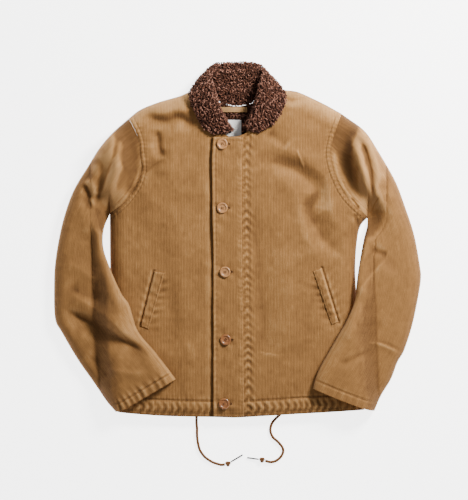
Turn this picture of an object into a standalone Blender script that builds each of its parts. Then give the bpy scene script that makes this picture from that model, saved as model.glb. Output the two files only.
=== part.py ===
"""Deck jacket of corded cotton with a curly pile collar, buttoned up and laid flat on its back.

+Z is up off the surface, +Y runs from hem to collar, and +X is to the viewer's right, which is the
wearer's left. Lengths are in millimetres and become metres where a mesh is made. The origin is under
the middle of the jacket, on the surface that it lies on.
"""

import functools
import math

import bmesh
import bpy
import numpy as np

MM = 0.001
OBJECT_NAME = "deck_jacket"

# Cloth
WALL = 4.0            # jungle cloth with its lining pressed to it
SEAM_GAP = 0.3        # between two pieces that are sewn together
SEWN_GAP = 0.5        # between a curved panel and the strip sewn on it
REST_GAP = 1.2        # between a curved panel and what lies loose on it
SEAM_HEIGHT = 2 * WALL + SEAM_GAP  # top of a side or shoulder seam above the surface
EDGE_ROUND = 34.0     # how far in the body reaches its full height
SLEEVE_ROUND = 27.0   # how far in a sleeve reaches its full height
DRAPE_SLOPE = 0.8     # steepest fall of a sleeve from the body down to the surface
DRAPE_LEVEL = 14.0    # how far a sleeve runs on level past the body's edge
DRAPE_REACH = 52.0
DRAPE_STEP = 4.0
DRAPE_X = (-440, 440)
DRAPE_Y = (-440, 440)
ARMHOLE_BLEND = 48.0  # how far the body's height carries on into a sleeve
CENTRE_X = -20.0      # meeting line of the two fronts, under the flap

# Grid of each panel
SIDE_ROWS = 14
ARMHOLE_ROWS = 13
UNDERARM_ROWS = 2     # rows of the armhole that run down a sleeve's inner edge
OUTER_FADE = 4.0      # how fast the armhole's bend fades from row to row, at the outer edge
INNER_FADE = 30.0     # and how much faster at the inner one
CENTRE_ROWS = 21
SLEEVE_ROWS = 22
SLEEVE_FAN = 0.72     # under 1, the rows run out faster on a sleeve's longer, outer edge
FRONT_COLUMNS = (0, .012, .04, .08, .14, .21, .28, .36, .44, .52, .60, .68, .76, .84, .92, 1)
BACK_COLUMNS = (0, .10, .20, .29, .36, .43, .5, .57, .64, .71, .80, .90, 1)
NECK_FROM = .29       # share of the back's top edge where its neckline starts
SLEEVE_COLUMNS = (0, .03, .09, .18, .29, .41, .53, .65, .77, .87, .95, 1)

# Outlines seen from above, as (x, y)
SIDE = {
    "right": [(-251, -361), (-261, -210), (-267, -63), (-268, 55)],
    "left": [(266, -356), (259, -294), (254, -210), (250, -126), (247, -63), (250, -10), (257, 28),
             (273, 48)],
}
ARMHOLE = {
    "right": [(-268, 55), (-238, 78), (-215, 109), (-201, 145), (-204, 181), (-209, 216), (-228, 255)],
    "left": [(273, 48), (249, 69), (229, 90), (213, 116), (201, 147), (195, 176), (198, 204),
             (207, 233), (218, 265)],
}
SHOULDER = {
    "right": [(-228, 255), (-203, 274), (-163, 290), (-121, 302), (-100, 311), (-72, 315)],
    "left": [(218, 265), (184, 284), (149, 301), (125, 311), (104, 314), (68, 317)],
}
NECKLINE = {
    "right": [(CENTRE_X, 217), (-27, 222), (-41, 244), (-56, 273), (-66, 298), (-72, 315)],
    "left": [(CENTRE_X, 217), (3, 218), (24, 229), (41, 254), (51, 279), (60, 300), (68, 317)],
}
HEM = {
    "right": [(-251, -361), (-209, -365), (-150, -369), (-58, -371), (CENTRE_X, -372)],
    "left": [(266, -356), (190, -361), (102, -366), (5, -372), (CENTRE_X, -372)],
}
BACK_NECK = [(-72, 315), (-49, 292), (-1, 279), (45, 292), (68, 317)]
SLEEVE_OUTER = {
    "right": [(-228, 255), (-256, 230), (-289, 193), (-316, 151), (-341, 110), (-357, 71), (-371, 21),
              (-382, -42), (-385, -94), (-383, -164), (-368, -195), (-335, -251), (-300, -301),
              (-276, -336), (-255, -360)],
    "left": [(218, 265), (264, 230), (293, 189), (330, 126), (352, 69), (371, 10), (383, -55),
             (385, -80), (380, -116), (367, -178), (350, -231), (336, -256), (322, -292), (302, -325),
             (287, -358)],
}
SLEEVE_INNER = {
    "right": [(-268, 55), (-280, 25), (-282, -10), (-272, -46), (-244, -109), (-226, -136),
              (-208, -190), (-173, -233), (-146, -268), (-129, -291)],
    "left": [(273, 48), (272, 28), (265, 2), (258, -34), (251, -78), (244, -130), (226, -172), (214, -193),
             (190, -235), (170, -271), (161, -296), (158, -311)],
}
CUFF = {
    "right": [(-255, -360), (-238, -355), (-184, -324), (-129, -291)],
    "left": [(287, -358), (267, -354), (215, -335), (158, -311)],
}

# Height of the body's top above the surface, from hem to neck
CROWN_Y = (-372, -350, -250, -60, 150, 250, 317)
CROWN_Z = (20, 26, 29, 33, 36, 35, 32)
# Height of a sleeve above what it lies on, from armhole to cuff
SLEEVE_T = (0, .3, .6, .9, 1)
SLEEVE_Z = (35, 33, 31, 27, 24)

# Folds: panel, half width, rise (below 0 for a trough), and the line that the fold follows
FOLDS = [
    ("body", 15, -7, [(-198, 273), (-165, 252), (-127, 262), (-102, 244), (-87, 233)]),
    ("body", 13, -5, [(-165, 225), (-165, 193), (-154, 172)]),
    ("body", 14, -5, [(-154, 172), (-184, 151), (-203, 126)]),
    ("body", 17, -8, [(37, 170), (79, 160), (125, 141), (156, 111), (154, 74), (165, 38), (194, -10),
                      (226, -38), (249, -46)]),
    ("body", 22, 5, [(51, 210), (100, 193), (135, 158), (194, 84), (230, 20)]),
    ("body", 18, -4, [(26, 84), (47, -63), (51, -189), (43, -315)]),
    ("body", 12, -4, [(90, 305), (117, 292), (130, 308)]),
    ("right", 14, -10, [(-255, 234), (-247, 214), (-251, 183), (-261, 148), (-279, 112), (-294, 81),
                        (-301, 50)]),
    ("right", 14, 5, [(-238, 189), (-251, 120), (-268, 67)]),
    ("right", 14, 6, [(-334, 113), (-318, 80), (-300, 45), (-288, 0)]),
    ("right", 13, -8, [(-297, 60), (-280, 14), (-272, -34)]),
    ("right", 16, -11, [(-374, -140), (-333, -172), (-294, -202), (-258, -223), (-225, -232),
                        (-189, -244), (-165, -265)]),
    ("right", 20, 7, [(-350, -85), (-294, -120), (-249, -163), (-225, -199), (-190, -232)]),
    ("right", 15, -5, [(-361, -90), (-318, -120), (-288, -135)]),
    ("left", 14, -11, [(250, 235), (264, 193), (276, 151), (282, 105), (287, 55)]),
    ("left", 16, -6, [(205, 200), (226, 143), (253, 101), (272, 60)]),
    ("left", 17, 5, [(262, 225), (290, 160), (310, 90), (318, 20)]),
    ("left", 15, -9, [(330, -20), (289, -63), (261, -105), (235, -150)]),
    ("left", 18, 4, [(340, -60), (300, -105), (262, -150)]),
    ("left", 18, -4, [(200, -225), (268, -216), (331, -239)]),
]

# Flap over the centre front: y, left edge x and right edge x
FLAP_Y = (-371, -294, -189, -42, 84, 168, 216)
FLAP_LEFT_X = (-51, -51, -51, -51, -53, -54, -51)
FLAP_RIGHT_X = (14, 13, 12, 10, 9, 9, 12)
FLAP_WALL = 3.0
FLAP_ROWS = 25
FLAP_COLUMNS = (0, .08, .35, .65, .92, 1)

BUTTON_PLACES = [(-32, 201), (-32, 67), (-26, -67), (-25, -209), (-28, -343)]
BUTTON_RADIUS = 11.5
BUTTON_THICK = 4.2
BUTTON_HOLE_RADIUS = 1.1
BUTTON_HOLE_OUT = 2.6
BUTTON_SIDES = 20

# Pocket welts: the four corners, inner top, outer top, outer bottom, inner bottom
WELTS = {
    "right": [(-152, -69), (-175, -65), (-204, -180), (-186, -188)],
    "left": [(158, -65), (177, -58), (212, -172), (197, -178)],
}
WELT_WALL = 2.5

# Pile lining of the back, where the neck shows it
LINING_TOP = [(-58, 300), (-47, 292), (-1, 280), (44, 292), (55, 301)]
LINING_SIDES = {"right": [(-75, 120), (-71, 210), (-58, 300)], "left": [(72, 120), (68, 210), (55, 301)]}
LINING_THICK = 6.0
LOOP_X = (-34.5, 20)
LOOP_Y = (268, 279)
LOOP_ARCH = 4.0
LOOP_WALL = 1.6
LABEL_X = (-34, 8)
LABEL_Y = (206, 252)
LABEL_WALL = 0.8

# Collar: neck seam x, y; roll x, y; outer edge x, y; height of the roll; 1 where it lies back flat
COLLAR = [
    (-17, 224, -9, 229, -27, 222, 42, 0),
    (-28, 231, -18, 240, -54, 223, 47, 0),
    (-40, 248, -27, 255, -72, 235, 51, 0),
    (-51, 270, -38, 277, -86, 258, 54, 0),
    (-60, 292, -45, 298, -97, 284, 55, 0),
    (-65, 305, -50, 321, -105, 307, 52, .08),
    (-58, 305, -55, 346, -98, 332, 44, .35),
    (-46, 297, -54, 364, -72, 360, 30, .8),
    (-33, 290, -38, 370, -41, 372, 22, 1),
    (0, 284, 0, 372.1, 0, 372.1, 20, 1),
    (30, 290, 36, 370, 39, 372, 22, 1),
    (43, 297, 51, 362, 66, 362, 30, .8),
    (54, 307, 49, 346, 90, 336, 44, .35),
    (60, 308, 45, 319, 104, 309, 52, .08),
    (51, 288, 39, 292, 99, 284, 55, 0),
    (42, 265, 31, 267, 87, 258, 54, 0),
    (33, 247, 23, 250, 68, 237, 51, 0),
    (24, 236, 16, 242, 47, 226, 47, 0),
    (17, 229, 11, 236, 26, 226, 42, 0),
]
COLLAR_FOOT = 12.4
COLLAR_EDGE_THICK = 10.0
COLLAR_RINGS_PER_STATION = 2
# Rolled section: share of the way from roll to outer edge, and height as a share from edge to roll
ROLL_OUT = (0, 0, 0, .12, .38, .68, .92, 1)
ROLL_UP = (0, .5, .86, 1, .97, .72, .42, .2)
UNDER_OUT = (.93, .74, .52)
# Flat section of the back: share of the way from neck seam to top edge, and height
LAID_OUT = (0, 0, .26, .5, .76, .93, 1, .97, .88, .66, .45, .28, .12)
LAID_Z = (0, 12, 16, 14, 18, 14, 7, 1, 0, 0, 0, 0, 0)

# Drawstring: free ends with their routes as (x, y, z of the middle), then knot and tip
CORD_RADIUS = 3.0
FLOOR_Z = CORD_RADIUS + 0.1
CORD_ROUTE = {
    "right": [(-86, -352, 9), (-86, -362, 8.6), (-86, -373, 7.8), (-86, -384, 5.4), (-85, -396, FLOOR_Z),
              (-85, -408, FLOOR_Z), (-84, -420, FLOOR_Z), (-82, -431, FLOOR_Z), (-79, -441, FLOOR_Z),
              (-74, -449, FLOOR_Z), (-68, -456, FLOOR_Z), (-60, -462, FLOOR_Z), (-51, -467, FLOOR_Z),
              (-42, -470, FLOOR_Z), (-34, -472, 3.6), (-26.8, -471, 5)],
    "left": [(98, -350, 9), (94, -358, 8.6), (89, -366, 7.8), (81, -374, 6), (74, -382, FLOOR_Z),
             (70, -391, FLOOR_Z), (69, -400, FLOOR_Z), (71, -408, FLOOR_Z), (75, -415, FLOOR_Z),
             (82, -421, FLOOR_Z), (88, -427, FLOOR_Z), (94, -435, FLOOR_Z), (96, -443, FLOOR_Z),
             (93, -452, FLOOR_Z), (86, -460, FLOOR_Z), (77, -465, FLOOR_Z), (68, -466, 3.6),
             (58.2, -463.3, 5)],
}
CORD_SPACING = 14.0
KNOT_PLACE = {"right": (-20, -469.5), "left": (51.5, -461.5)}
KNOT_RADII = (6.6, 6.2, 5.6)
TIP_ENDS = {"right": ((-14.3, -465.8), (11, -451)), "left": ((44.7, -460.4), (20, -457))}
TIP_RADIUS = 1.7

COLOURS = {
    "cloth": (0.36, 0.235, 0.14),
    "pile": (0.13, 0.07, 0.05),
    "tape": (0.41, 0.26, 0.13),
    "label": (0.8, 0.8, 0.78),
    "button": (0.43, 0.23, 0.1),
    "cord": (0.25, 0.13, 0.06),
    "tip": (0.015, 0.012, 0.012),
}
ROUGHNESS = {"button": 0.45, "tip": 0.35}


def clear_scene():
    for item in list(bpy.data.objects):
        bpy.data.objects.remove(item)


def new_collection():
    group = bpy.data.collections.new(OBJECT_NAME)
    bpy.context.scene.collection.children.link(group)
    return group


def material(name, kind):
    """A plain finish in the colour of one kind of material."""
    finish = bpy.data.materials.new(name)
    finish.use_nodes = True
    shader = finish.node_tree.nodes["Principled BSDF"]
    shader.inputs["Base Color"].default_value = (*COLOURS[kind], 1.0)
    shader.inputs["Roughness"].default_value = ROUGHNESS.get(kind, 0.9)
    shader.inputs["Metallic"].default_value = 0.0
    return finish


def add_object(group, name, mesh, kind):
    item = bpy.data.objects.new(name, mesh)
    item.data.materials.append(material(name, kind))
    group.objects.link(item)
    return item


def smooth(t):
    t = np.clip(t, 0.0, 1.0)
    return t * t * (3.0 - 2.0 * t)


def rounded(depth):
    """The height of a round edge, 0 at the edge and 1 from a depth of 1 on."""
    t = np.clip(depth, 0.0, 1.0)
    return np.sqrt(1.0 - (1.0 - t) ** 2)


def smooth_line(points, per_span=12):
    """A Catmull-Rom line through the points of a table."""
    p = np.array(points, float)
    p = np.vstack([2 * p[0] - p[1], p, 2 * p[-1] - p[-2]])
    t = np.linspace(0, 1, per_span, endpoint=False)[:, None]
    spans = [
        0.5 * (2 * b + (c - a) * t + (2 * a - 5 * b + 4 * c - d) * t**2 + (3 * b - a - 3 * c + d) * t**3)
        for a, b, c, d in zip(p, p[1:], p[2:], p[3:])
    ]
    return np.vstack(spans + [p[-2][None, :]])


def along(points, shares):
    """Points at these shares of the smooth line's length."""
    line = smooth_line(points)
    length = np.r_[0, np.cumsum(np.linalg.norm(np.diff(line, axis=0), axis=1))]
    at = np.asarray(shares, float) * length[-1]
    return np.stack([np.interp(at, length, line[:, k]) for k in range(line.shape[1])], axis=1)


def evenly(points, spans):
    return along(points, np.linspace(0, 1, spans + 1))


def patch(first_row, last_row, first_column, last_column, shares, first_fades=1.0):
    """A grid of plan points between four edges that meet at the corners.

    Its rows are straight but for the bend of the first and of the last edge, which fades from row to row.
    """
    u = np.asarray(shares, float)[None, :, None]
    v = np.linspace(0, 1, len(first_column))[:, None, None]
    straight = (1 - u) * first_column[:, None] + u * last_column[:, None]
    first_bend = first_row[None] - ((1 - u) * first_row[0] + u * first_row[-1])
    last_bend = last_row[None] - ((1 - u) * last_row[0] + u * last_row[-1])
    return straight + (1 - v) ** first_fades * first_bend + v * last_bend


def line_distance(x, y, points):
    """How far each place is from a line, and the share of the line's length that is nearest."""
    line = smooth_line(points, 6)
    step = np.linalg.norm(np.diff(line, axis=0), axis=1)
    start = np.r_[0, np.cumsum(step)][:-1]
    best = np.full(np.shape(x), 1e9)
    share = np.zeros(np.shape(x))
    for a, b, length, before in zip(line, line[1:], step, start):
        t = ((x - a[0]) * (b[0] - a[0]) + (y - a[1]) * (b[1] - a[1])) / max(length**2, 1e-9)
        t = np.clip(t, 0, 1)
        away = np.hypot(x - a[0] - t * (b[0] - a[0]), y - a[1] - t * (b[1] - a[1]))
        nearer = away < best
        best = np.where(nearer, away, best)
        share = np.where(nearer, (before + t * length) / step.sum(), share)
    return best, share


def fold_height(panel, x, y):
    """The sum of the folds of one panel, each a soft ridge or trough that fades at its ends."""
    height = np.zeros(np.shape(x))
    for owner, half_width, rise, line in FOLDS:
        if owner == panel:
            away, share = line_distance(x, y, line)
            fade = smooth(4 * np.minimum(share, 1 - share))
            height += rise * fade * np.exp(-((away / half_width) ** 2))
    return height


def side_x(side, y):
    line = smooth_line(SIDE[side])
    return np.interp(y, line[:, 1], line[:, 0])


def shoulder_y(x):
    """The shoulder line, carried on over both sleeve heads."""
    right = [(-341, 110), (-316, 151), (-289, 193), (-256, 230)] + SHOULDER["right"]
    left = SHOULDER["left"][::-1] + [(264, 230), (293, 189), (330, 126), (352, 69)]
    line = np.array(right + left, float)
    return np.interp(x, line[:, 0], line[:, 1])


def body_top(x, y):
    """Height of the fronts' outer surface."""
    crown = np.interp(y, CROWN_Y, CROWN_Z)
    inside = rounded((x - side_x("right", y)) / EDGE_ROUND)
    inside = inside * rounded((side_x("left", y) - x) / EDGE_ROUND)
    inside = inside * rounded((shoulder_y(x) - y) * 0.93 / EDGE_ROUND)
    return SEAM_HEIGHT + (crown - SEAM_HEIGHT + fold_height("body", x, y)) * inside


def on_body(x, y):
    """The body's height where it is, and 0 beside it."""
    inside = (x > side_x("right", y)) & (x < side_x("left", y)) & (y > -372) & (y < shoulder_y(x))
    return np.where(inside, body_top(x, y), 0.0)


@functools.lru_cache
def drape_grid():
    """Height of cloth laid over the body: the body's top, with a slope down to the surface beside it."""
    x, y = np.meshgrid(np.arange(*DRAPE_X, DRAPE_STEP), np.arange(*DRAPE_Y, DRAPE_STEP))
    body = on_body(x, y)
    height = body.copy()
    steps = round(DRAPE_REACH / DRAPE_STEP)
    for row in range(-steps, steps + 1):
        for column in range(-steps, steps + 1):
            lower = DRAPE_SLOPE * max(0, DRAPE_STEP * math.hypot(row, column) - DRAPE_LEVEL)
            height = np.maximum(height, np.roll(body, (row, column), (0, 1)) - lower)
    return height


def draped_over_body(x, y):
    height = drape_grid()
    column = np.clip((np.asarray(x, float) - DRAPE_X[0]) / DRAPE_STEP, 0, height.shape[1] - 1.001)
    row = np.clip((np.asarray(y, float) - DRAPE_Y[0]) / DRAPE_STEP, 0, height.shape[0] - 1.001)
    c, r = column.astype(int), row.astype(int)
    u, v = column - c, row - r
    low = height[r, c] * (1 - u) + height[r, c + 1] * u
    high = height[r + 1, c] * (1 - u) + height[r + 1, c + 1] * u
    return low * (1 - v) + high * v


def offset_inwards(outer, thick, lowest):
    """The inner side of a wall: straight down along its rim, and square to it where it is steep."""
    across = np.gradient(outer, axis=1)
    up = np.gradient(outer, axis=0)
    normal = np.cross(across, up)
    normal /= np.maximum(np.linalg.norm(normal, axis=2, keepdims=True), 1e-9)
    normal *= np.sign(normal[..., 2:3])
    steep = smooth((1.0 - normal[..., 2] - 0.1) / 0.3)
    steep[0] = steep[-1] = 0
    steep[:, 0] = steep[:, -1] = 0
    way = normal.copy()
    way[..., :2] *= steep[..., None]
    way[..., 2] = np.sqrt(np.maximum(1 - way[..., 0] ** 2 - way[..., 1] ** 2, 0.05))
    inner = outer - thick * way
    inner[..., 2] = np.maximum(inner[..., 2], lowest(inner[..., 0], inner[..., 1]))
    return inner


def wall(group, name, upper, lower, kind):
    """A closed wall between two grids of points, from one grid that is extruded and shaped."""
    rows, columns = upper.shape[:2]
    bm = bmesh.new()
    bmesh.ops.create_grid(bm, x_segments=columns - 1, y_segments=rows - 1, size=1.0)
    place = bm.verts.layers.int.new("place")
    for vert in bm.verts:
        column = round((vert.co.x + 1) / 2 * (columns - 1))
        row = round((vert.co.y + 1) / 2 * (rows - 1))
        vert[place] = row * columns + column
    low_verts = list(bm.verts)
    made = bmesh.ops.extrude_face_region(bm, geom=bm.faces[:], use_keep_orig=True)
    high_verts = [item for item in made["geom"] if isinstance(item, bmesh.types.BMVert)]
    for verts, grid in ((low_verts, lower), (high_verts, upper)):
        flat = grid.reshape(-1, 3) * MM
        for vert in verts:
            vert.co = flat[vert[place]]
    bmesh.ops.recalc_face_normals(bm, faces=bm.faces[:])
    mesh = bpy.data.meshes.new(name)
    bm.to_mesh(mesh)
    bm.free()
    mesh.shade_smooth()
    mesh.set_sharp_from_angle(angle=math.radians(50))
    return add_object(group, name, mesh, kind)


def with_height(plan, height):
    return np.dstack([plan, height])


def level(height):
    return lambda x, y: np.full(np.shape(x), float(height))


def outer_edge(side):
    """Side seam and armhole of one side, hem to shoulder, at the rows that all panels share."""
    return np.vstack([evenly(SIDE[side], SIDE_ROWS), evenly(ARMHOLE[side], ARMHOLE_ROWS)[1:]])


def centre_edge(side):
    """Centre front and neckline, hem to shoulder, half a seam gap from the meeting line."""
    rows = SIDE_ROWS + ARMHOLE_ROWS - CENTRE_ROWS
    centre = evenly([HEM[side][-1], NECKLINE[side][0]], CENTRE_ROWS)
    edge = np.vstack([centre, evenly(NECKLINE[side], rows)[1:]])
    shift = -SEAM_GAP / 2 if side == "right" else SEAM_GAP / 2
    edge[: CENTRE_ROWS + 1, 0] += shift
    return edge


def front(group, side):
    edge, centre = outer_edge(side), centre_edge(side)
    hem, top = along(HEM[side], FRONT_COLUMNS), along(SHOULDER[side], FRONT_COLUMNS)
    hem[-1], top[-1] = centre[0], centre[-1]
    plan = patch(hem, top, edge, centre, FRONT_COLUMNS)
    upper = with_height(plan, body_top(plan[..., 0], plan[..., 1]))
    lower = offset_inwards(upper, WALL, level(WALL + SEAM_GAP))
    wall(group, "front_" + side, upper, lower, "cloth")


def back(group):
    """One flat piece between the side seams, under the fronts."""
    right, left = outer_edge("right"), outer_edge("left")
    hem = along(HEM["right"] + HEM["left"][-2::-1], BACK_COLUMNS)
    shares = np.array(BACK_COLUMNS)
    on_shoulder = shares[shares < NECK_FROM] / NECK_FROM
    on_neck = (shares[(shares >= NECK_FROM) & (shares <= 1 - NECK_FROM)] - NECK_FROM) / (1 - 2 * NECK_FROM)
    top = np.vstack([
        along(SHOULDER["right"], on_shoulder),
        along(BACK_NECK, on_neck),
        along(SHOULDER["left"], on_shoulder)[::-1],
    ])
    hem[0], hem[-1], top[0], top[-1] = right[0], left[0], right[-1], left[-1]
    plan = patch(hem, top, right, left, shares)
    flat = np.zeros(plan.shape[:2])
    wall(group, "back", with_height(plan, flat + WALL), with_height(plan, flat), "cloth")


def square_to(points, towards):
    """Unit vectors square to a line, all on the side that its first one shows in x."""
    step = np.gradient(points, axis=0)
    out = np.stack([-step[:, 1], step[:, 0]], axis=1)
    out /= np.linalg.norm(out, axis=1, keepdims=True)
    return out * np.sign(out[0, 0] * towards)


def away_from_body(points, side):
    """The armhole's points, one seam gap further out."""
    return points + square_to(points, -1 if side == "right" else 1) * (SEAM_GAP + 0.05)


def sleeve_plan(side):
    """Sleeve seen from above: rows from armhole to cuff, columns from outer to inner edge."""
    armhole = away_from_body(evenly(ARMHOLE[side], ARMHOLE_ROWS), side)
    start = armhole[UNDERARM_ROWS:][::-1]
    inner_line = evenly(SLEEVE_INNER[side], SLEEVE_ROWS - UNDERARM_ROWS)
    inner_line[0] = armhole[0]
    inner = np.vstack([armhole[1:UNDERARM_ROWS + 1][::-1], inner_line])
    outer = along(SLEEVE_OUTER[side], np.linspace(0, 1, SLEEVE_ROWS + 1) ** SLEEVE_FAN)
    outer[0] = start[0]
    cuff = along(CUFF[side], SLEEVE_COLUMNS)
    cuff[0], cuff[-1] = outer[-1], inner[-1]
    shares = np.array(SLEEVE_COLUMNS)
    fades = OUTER_FADE + INNER_FADE * shares[None, :, None] ** 4
    return patch(start, cuff, outer, inner, shares, fades)


def sleeve(group, side):
    """Upper and under sleeve: the under one lies on the surface and over the body's edge."""
    plan = sleeve_plan(side)
    x, y = plan[..., 0], plan[..., 1]
    from_armhole, _ = line_distance(x, y, ARMHOLE[side])
    base = draped_over_body(x, y)
    base = np.where(base > 0.5, base + REST_GAP, 0) * smooth((from_armhole - 12) / 50)
    from_outer = np.linalg.norm(plan - plan[:, :1], axis=2)
    from_inner = np.linalg.norm(plan - plan[:, -1:], axis=2)
    t = np.linspace(0, 1, len(plan))[:, None]
    full = np.interp(t, SLEEVE_T, SLEEVE_Z) + fold_height(side, x, y) - SEAM_HEIGHT
    full = full * rounded(from_outer / SLEEVE_ROUND) * rounded(from_inner / SLEEVE_ROUND)
    own = base + SEAM_HEIGHT + full
    blend = smooth(from_armhole / ARMHOLE_BLEND)
    height = body_top(x, y) * (1 - blend) + own * blend
    height = np.maximum(height, base + SEAM_HEIGHT)
    under_top = base + WALL
    upper = with_height(plan, height)
    lower = offset_inwards(upper, WALL, level(0))
    lower[..., 2] = np.maximum(lower[..., 2], under_top + SEAM_GAP + 0.4 * (base > 0))
    wall(group, "sleeve_top_" + side, upper, lower, "cloth")
    wall(group, "sleeve_under_" + side, with_height(plan, under_top), with_height(plan, base), "cloth")


def wind_flap(group):
    shares = np.linspace(0, 1, FLAP_ROWS)
    y = FLAP_Y[0] + shares * (FLAP_Y[-1] - FLAP_Y[0])
    left, right = np.interp(y, FLAP_Y, FLAP_LEFT_X), np.interp(y, FLAP_Y, FLAP_RIGHT_X)
    across = np.array(FLAP_COLUMNS)[None, :]
    x = left[:, None] + (right - left)[:, None] * across
    plan = np.dstack([x, np.repeat(y[:, None], len(FLAP_COLUMNS), axis=1)])
    under = body_top(x, plan[..., 1]) + SEWN_GAP
    wall(group, "wind_flap", with_height(plan, under + FLAP_WALL), with_height(plan, under), "cloth")


def pocket_welt(group, side):
    inner_top, outer_top, outer_low, inner_low = (np.array(corner, float) for corner in WELTS[side])
    down = np.linspace(0, 1, 9)[:, None, None]
    over = np.array((0, .5, 1))[None, :, None]
    top_edge = inner_top + over * (outer_top - inner_top)
    low_edge = inner_low + over * (outer_low - inner_low)
    plan = top_edge + down * (low_edge - top_edge)
    under = body_top(plan[..., 0], plan[..., 1]) + SEWN_GAP
    upper, lower = with_height(plan, under + WELT_WALL), with_height(plan, under)
    wall(group, "pocket_welt_" + side, upper, lower, "cloth")


def neck_lining(group):
    columns = np.linspace(0, 1, 8)
    top = along(LINING_TOP, columns)
    low = evenly([LINING_SIDES["right"][0], LINING_SIDES["left"][0]], len(columns) - 1)
    right, left = evenly(LINING_SIDES["right"], 6), evenly(LINING_SIDES["left"], 6)
    plan = patch(low, top, right, left, columns)
    flat = np.full(plan.shape[:2], WALL + SEAM_GAP)
    upper, lower = with_height(plan, flat + LINING_THICK), with_height(plan, flat)
    wall(group, "neck_lining", upper, lower, "pile")


def flat_strip(group, name, x_range, y_range, arch, thick, kind, columns):
    """A thin rectangle of tape or label on the lining, arched up by so much in the middle."""
    x = np.linspace(*x_range, columns)
    y = np.linspace(*y_range, 2)
    plan = np.dstack(np.meshgrid(x, y))
    under = WALL + LINING_THICK + 2 * SEAM_GAP
    share = np.linspace(0, 1, columns)[None, :]
    height = under + arch * np.sin(math.pi * share) + 0 * plan[..., 0]
    wall(group, name, with_height(plan, height + thick), with_height(plan, height), kind)


def collar_ring(row):
    """One closed ring round the collar, part rolled over and part laid back flat."""
    seam, roll, edge = row[0:2], row[2:4], row[4:6]
    roll_z, laid = row[6], np.clip(row[7], 0, 1)
    rest = draped_over_body(np.array([edge[0]]), np.array([edge[1]]))[0]
    rest = max(rest, SEAM_HEIGHT) + REST_GAP
    edge_low, edge_high = rest, rest + COLLAR_EDGE_THICK
    points = [(*seam, COLLAR_FOOT)]
    for out, up in zip(ROLL_OUT, ROLL_UP):
        place = roll + out * (edge - roll)
        foot = COLLAR_FOOT if out == 0 else edge_high - 9
        points.append((*place, foot + up * (roll_z - foot)))
    for out in UNDER_OUT:
        place = roll + out * (edge - roll)
        under = draped_over_body(np.array([place[0]]), np.array([place[1]]))[0]
        points.append((*place, max(under + REST_GAP, edge_low - 2)))
    over_seam = draped_over_body(np.array([seam[0]]), np.array([seam[1]]))[0]
    points.append((*seam, over_seam + REST_GAP))
    rolled = np.array(points)
    places = seam + np.array(LAID_OUT)[:, None] * (roll - seam)
    flat = np.column_stack([places, LAID_Z])
    return (1 - laid) * rolled + laid * flat


def collar(group):
    """The collar's rings, bridged one to the next and capped at both front ends."""
    stations = np.array(COLLAR, float)
    spans = (len(stations) - 1) * COLLAR_RINGS_PER_STATION
    line = smooth_line(stations, COLLAR_RINGS_PER_STATION)
    rings = [collar_ring(row) for row in line[: spans + 1]]
    bm = bmesh.new()
    loops = [[bm.verts.new(point * MM) for point in ring] for ring in rings]
    for first, second in zip(loops, loops[1:]):
        for k in range(len(first)):
            nearest = (k + 1) % len(first)
            bm.faces.new((first[k], first[nearest], second[nearest], second[k]))
    bm.faces.new(loops[0])
    bm.faces.new(loops[-1])
    bmesh.ops.recalc_face_normals(bm, faces=bm.faces[:])
    mesh = bpy.data.meshes.new("collar")
    bm.to_mesh(mesh)
    bm.free()
    mesh.shade_smooth()
    add_object(group, "collar", mesh, "pile")


def button_mesh():
    """A rimmed disc, turned, with four holes for the thread."""
    r, h = BUTTON_RADIUS, BUTTON_THICK
    profile = [(0, .62 * h), (.58 * r, .62 * h), (.74 * r, h), (.93 * r, h), (r, .6 * h), (.8 * r, 0), (0, 0)]
    bm = bmesh.new()
    verts = [bm.verts.new((x * MM, 0, z * MM)) for x, z in profile]
    edges = [bm.edges.new(pair) for pair in zip(verts, verts[1:])]
    bmesh.ops.spin(bm, geom=verts + edges, cent=(0, 0, 0), axis=(0, 0, 1), angle=2 * math.pi,
                   steps=BUTTON_SIDES, use_merge=True)
    bmesh.ops.remove_doubles(bm, verts=bm.verts[:], dist=1e-5)
    bmesh.ops.recalc_face_normals(bm, faces=bm.faces[:])
    mesh = bpy.data.meshes.new("button")
    bm.to_mesh(mesh)
    bm.free()
    return mesh


def hole_cutter(cutters):
    """Four upright pins in one mesh, which cut the holes of a button."""
    bm = bmesh.new()
    for quarter in range(4):
        turn = math.radians(45 + 90 * quarter)
        made = bmesh.ops.create_cone(bm, cap_ends=True, segments=6, radius1=BUTTON_HOLE_RADIUS * MM,
                                     radius2=BUTTON_HOLE_RADIUS * MM, depth=4 * BUTTON_THICK * MM)
        out = BUTTON_HOLE_OUT * MM
        bmesh.ops.translate(bm, verts=made["verts"], vec=(out * math.cos(turn), out * math.sin(turn), 0))
    mesh = bpy.data.meshes.new("button_holes")
    bm.to_mesh(mesh)
    bm.free()
    cutter = bpy.data.objects.new("button_holes", mesh)
    cutter.hide_render = True
    cutter.display_type = "WIRE"
    cutters.objects.link(cutter)
    return cutter


def buttons(group, cutters):
    for number, (x, y) in enumerate(BUTTON_PLACES, 1):
        flap_top = body_top(np.array([x]), np.array([y]))[0] + SEWN_GAP + FLAP_WALL
        name = "button_{}".format(number)
        item = add_object(group, name, button_mesh(), "button")
        item.location = (x * MM, y * MM, (flap_top + 0.5) * MM)
        pins = hole_cutter(cutters)
        pins.location = item.location
        cut = item.modifiers.new("holes", "BOOLEAN")
        cut.operation = "DIFFERENCE"
        cut.solver = "EXACT"
        cut.object = pins
        item.data.shade_smooth()
        item.data.set_sharp_from_angle(angle=math.radians(35))


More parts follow.
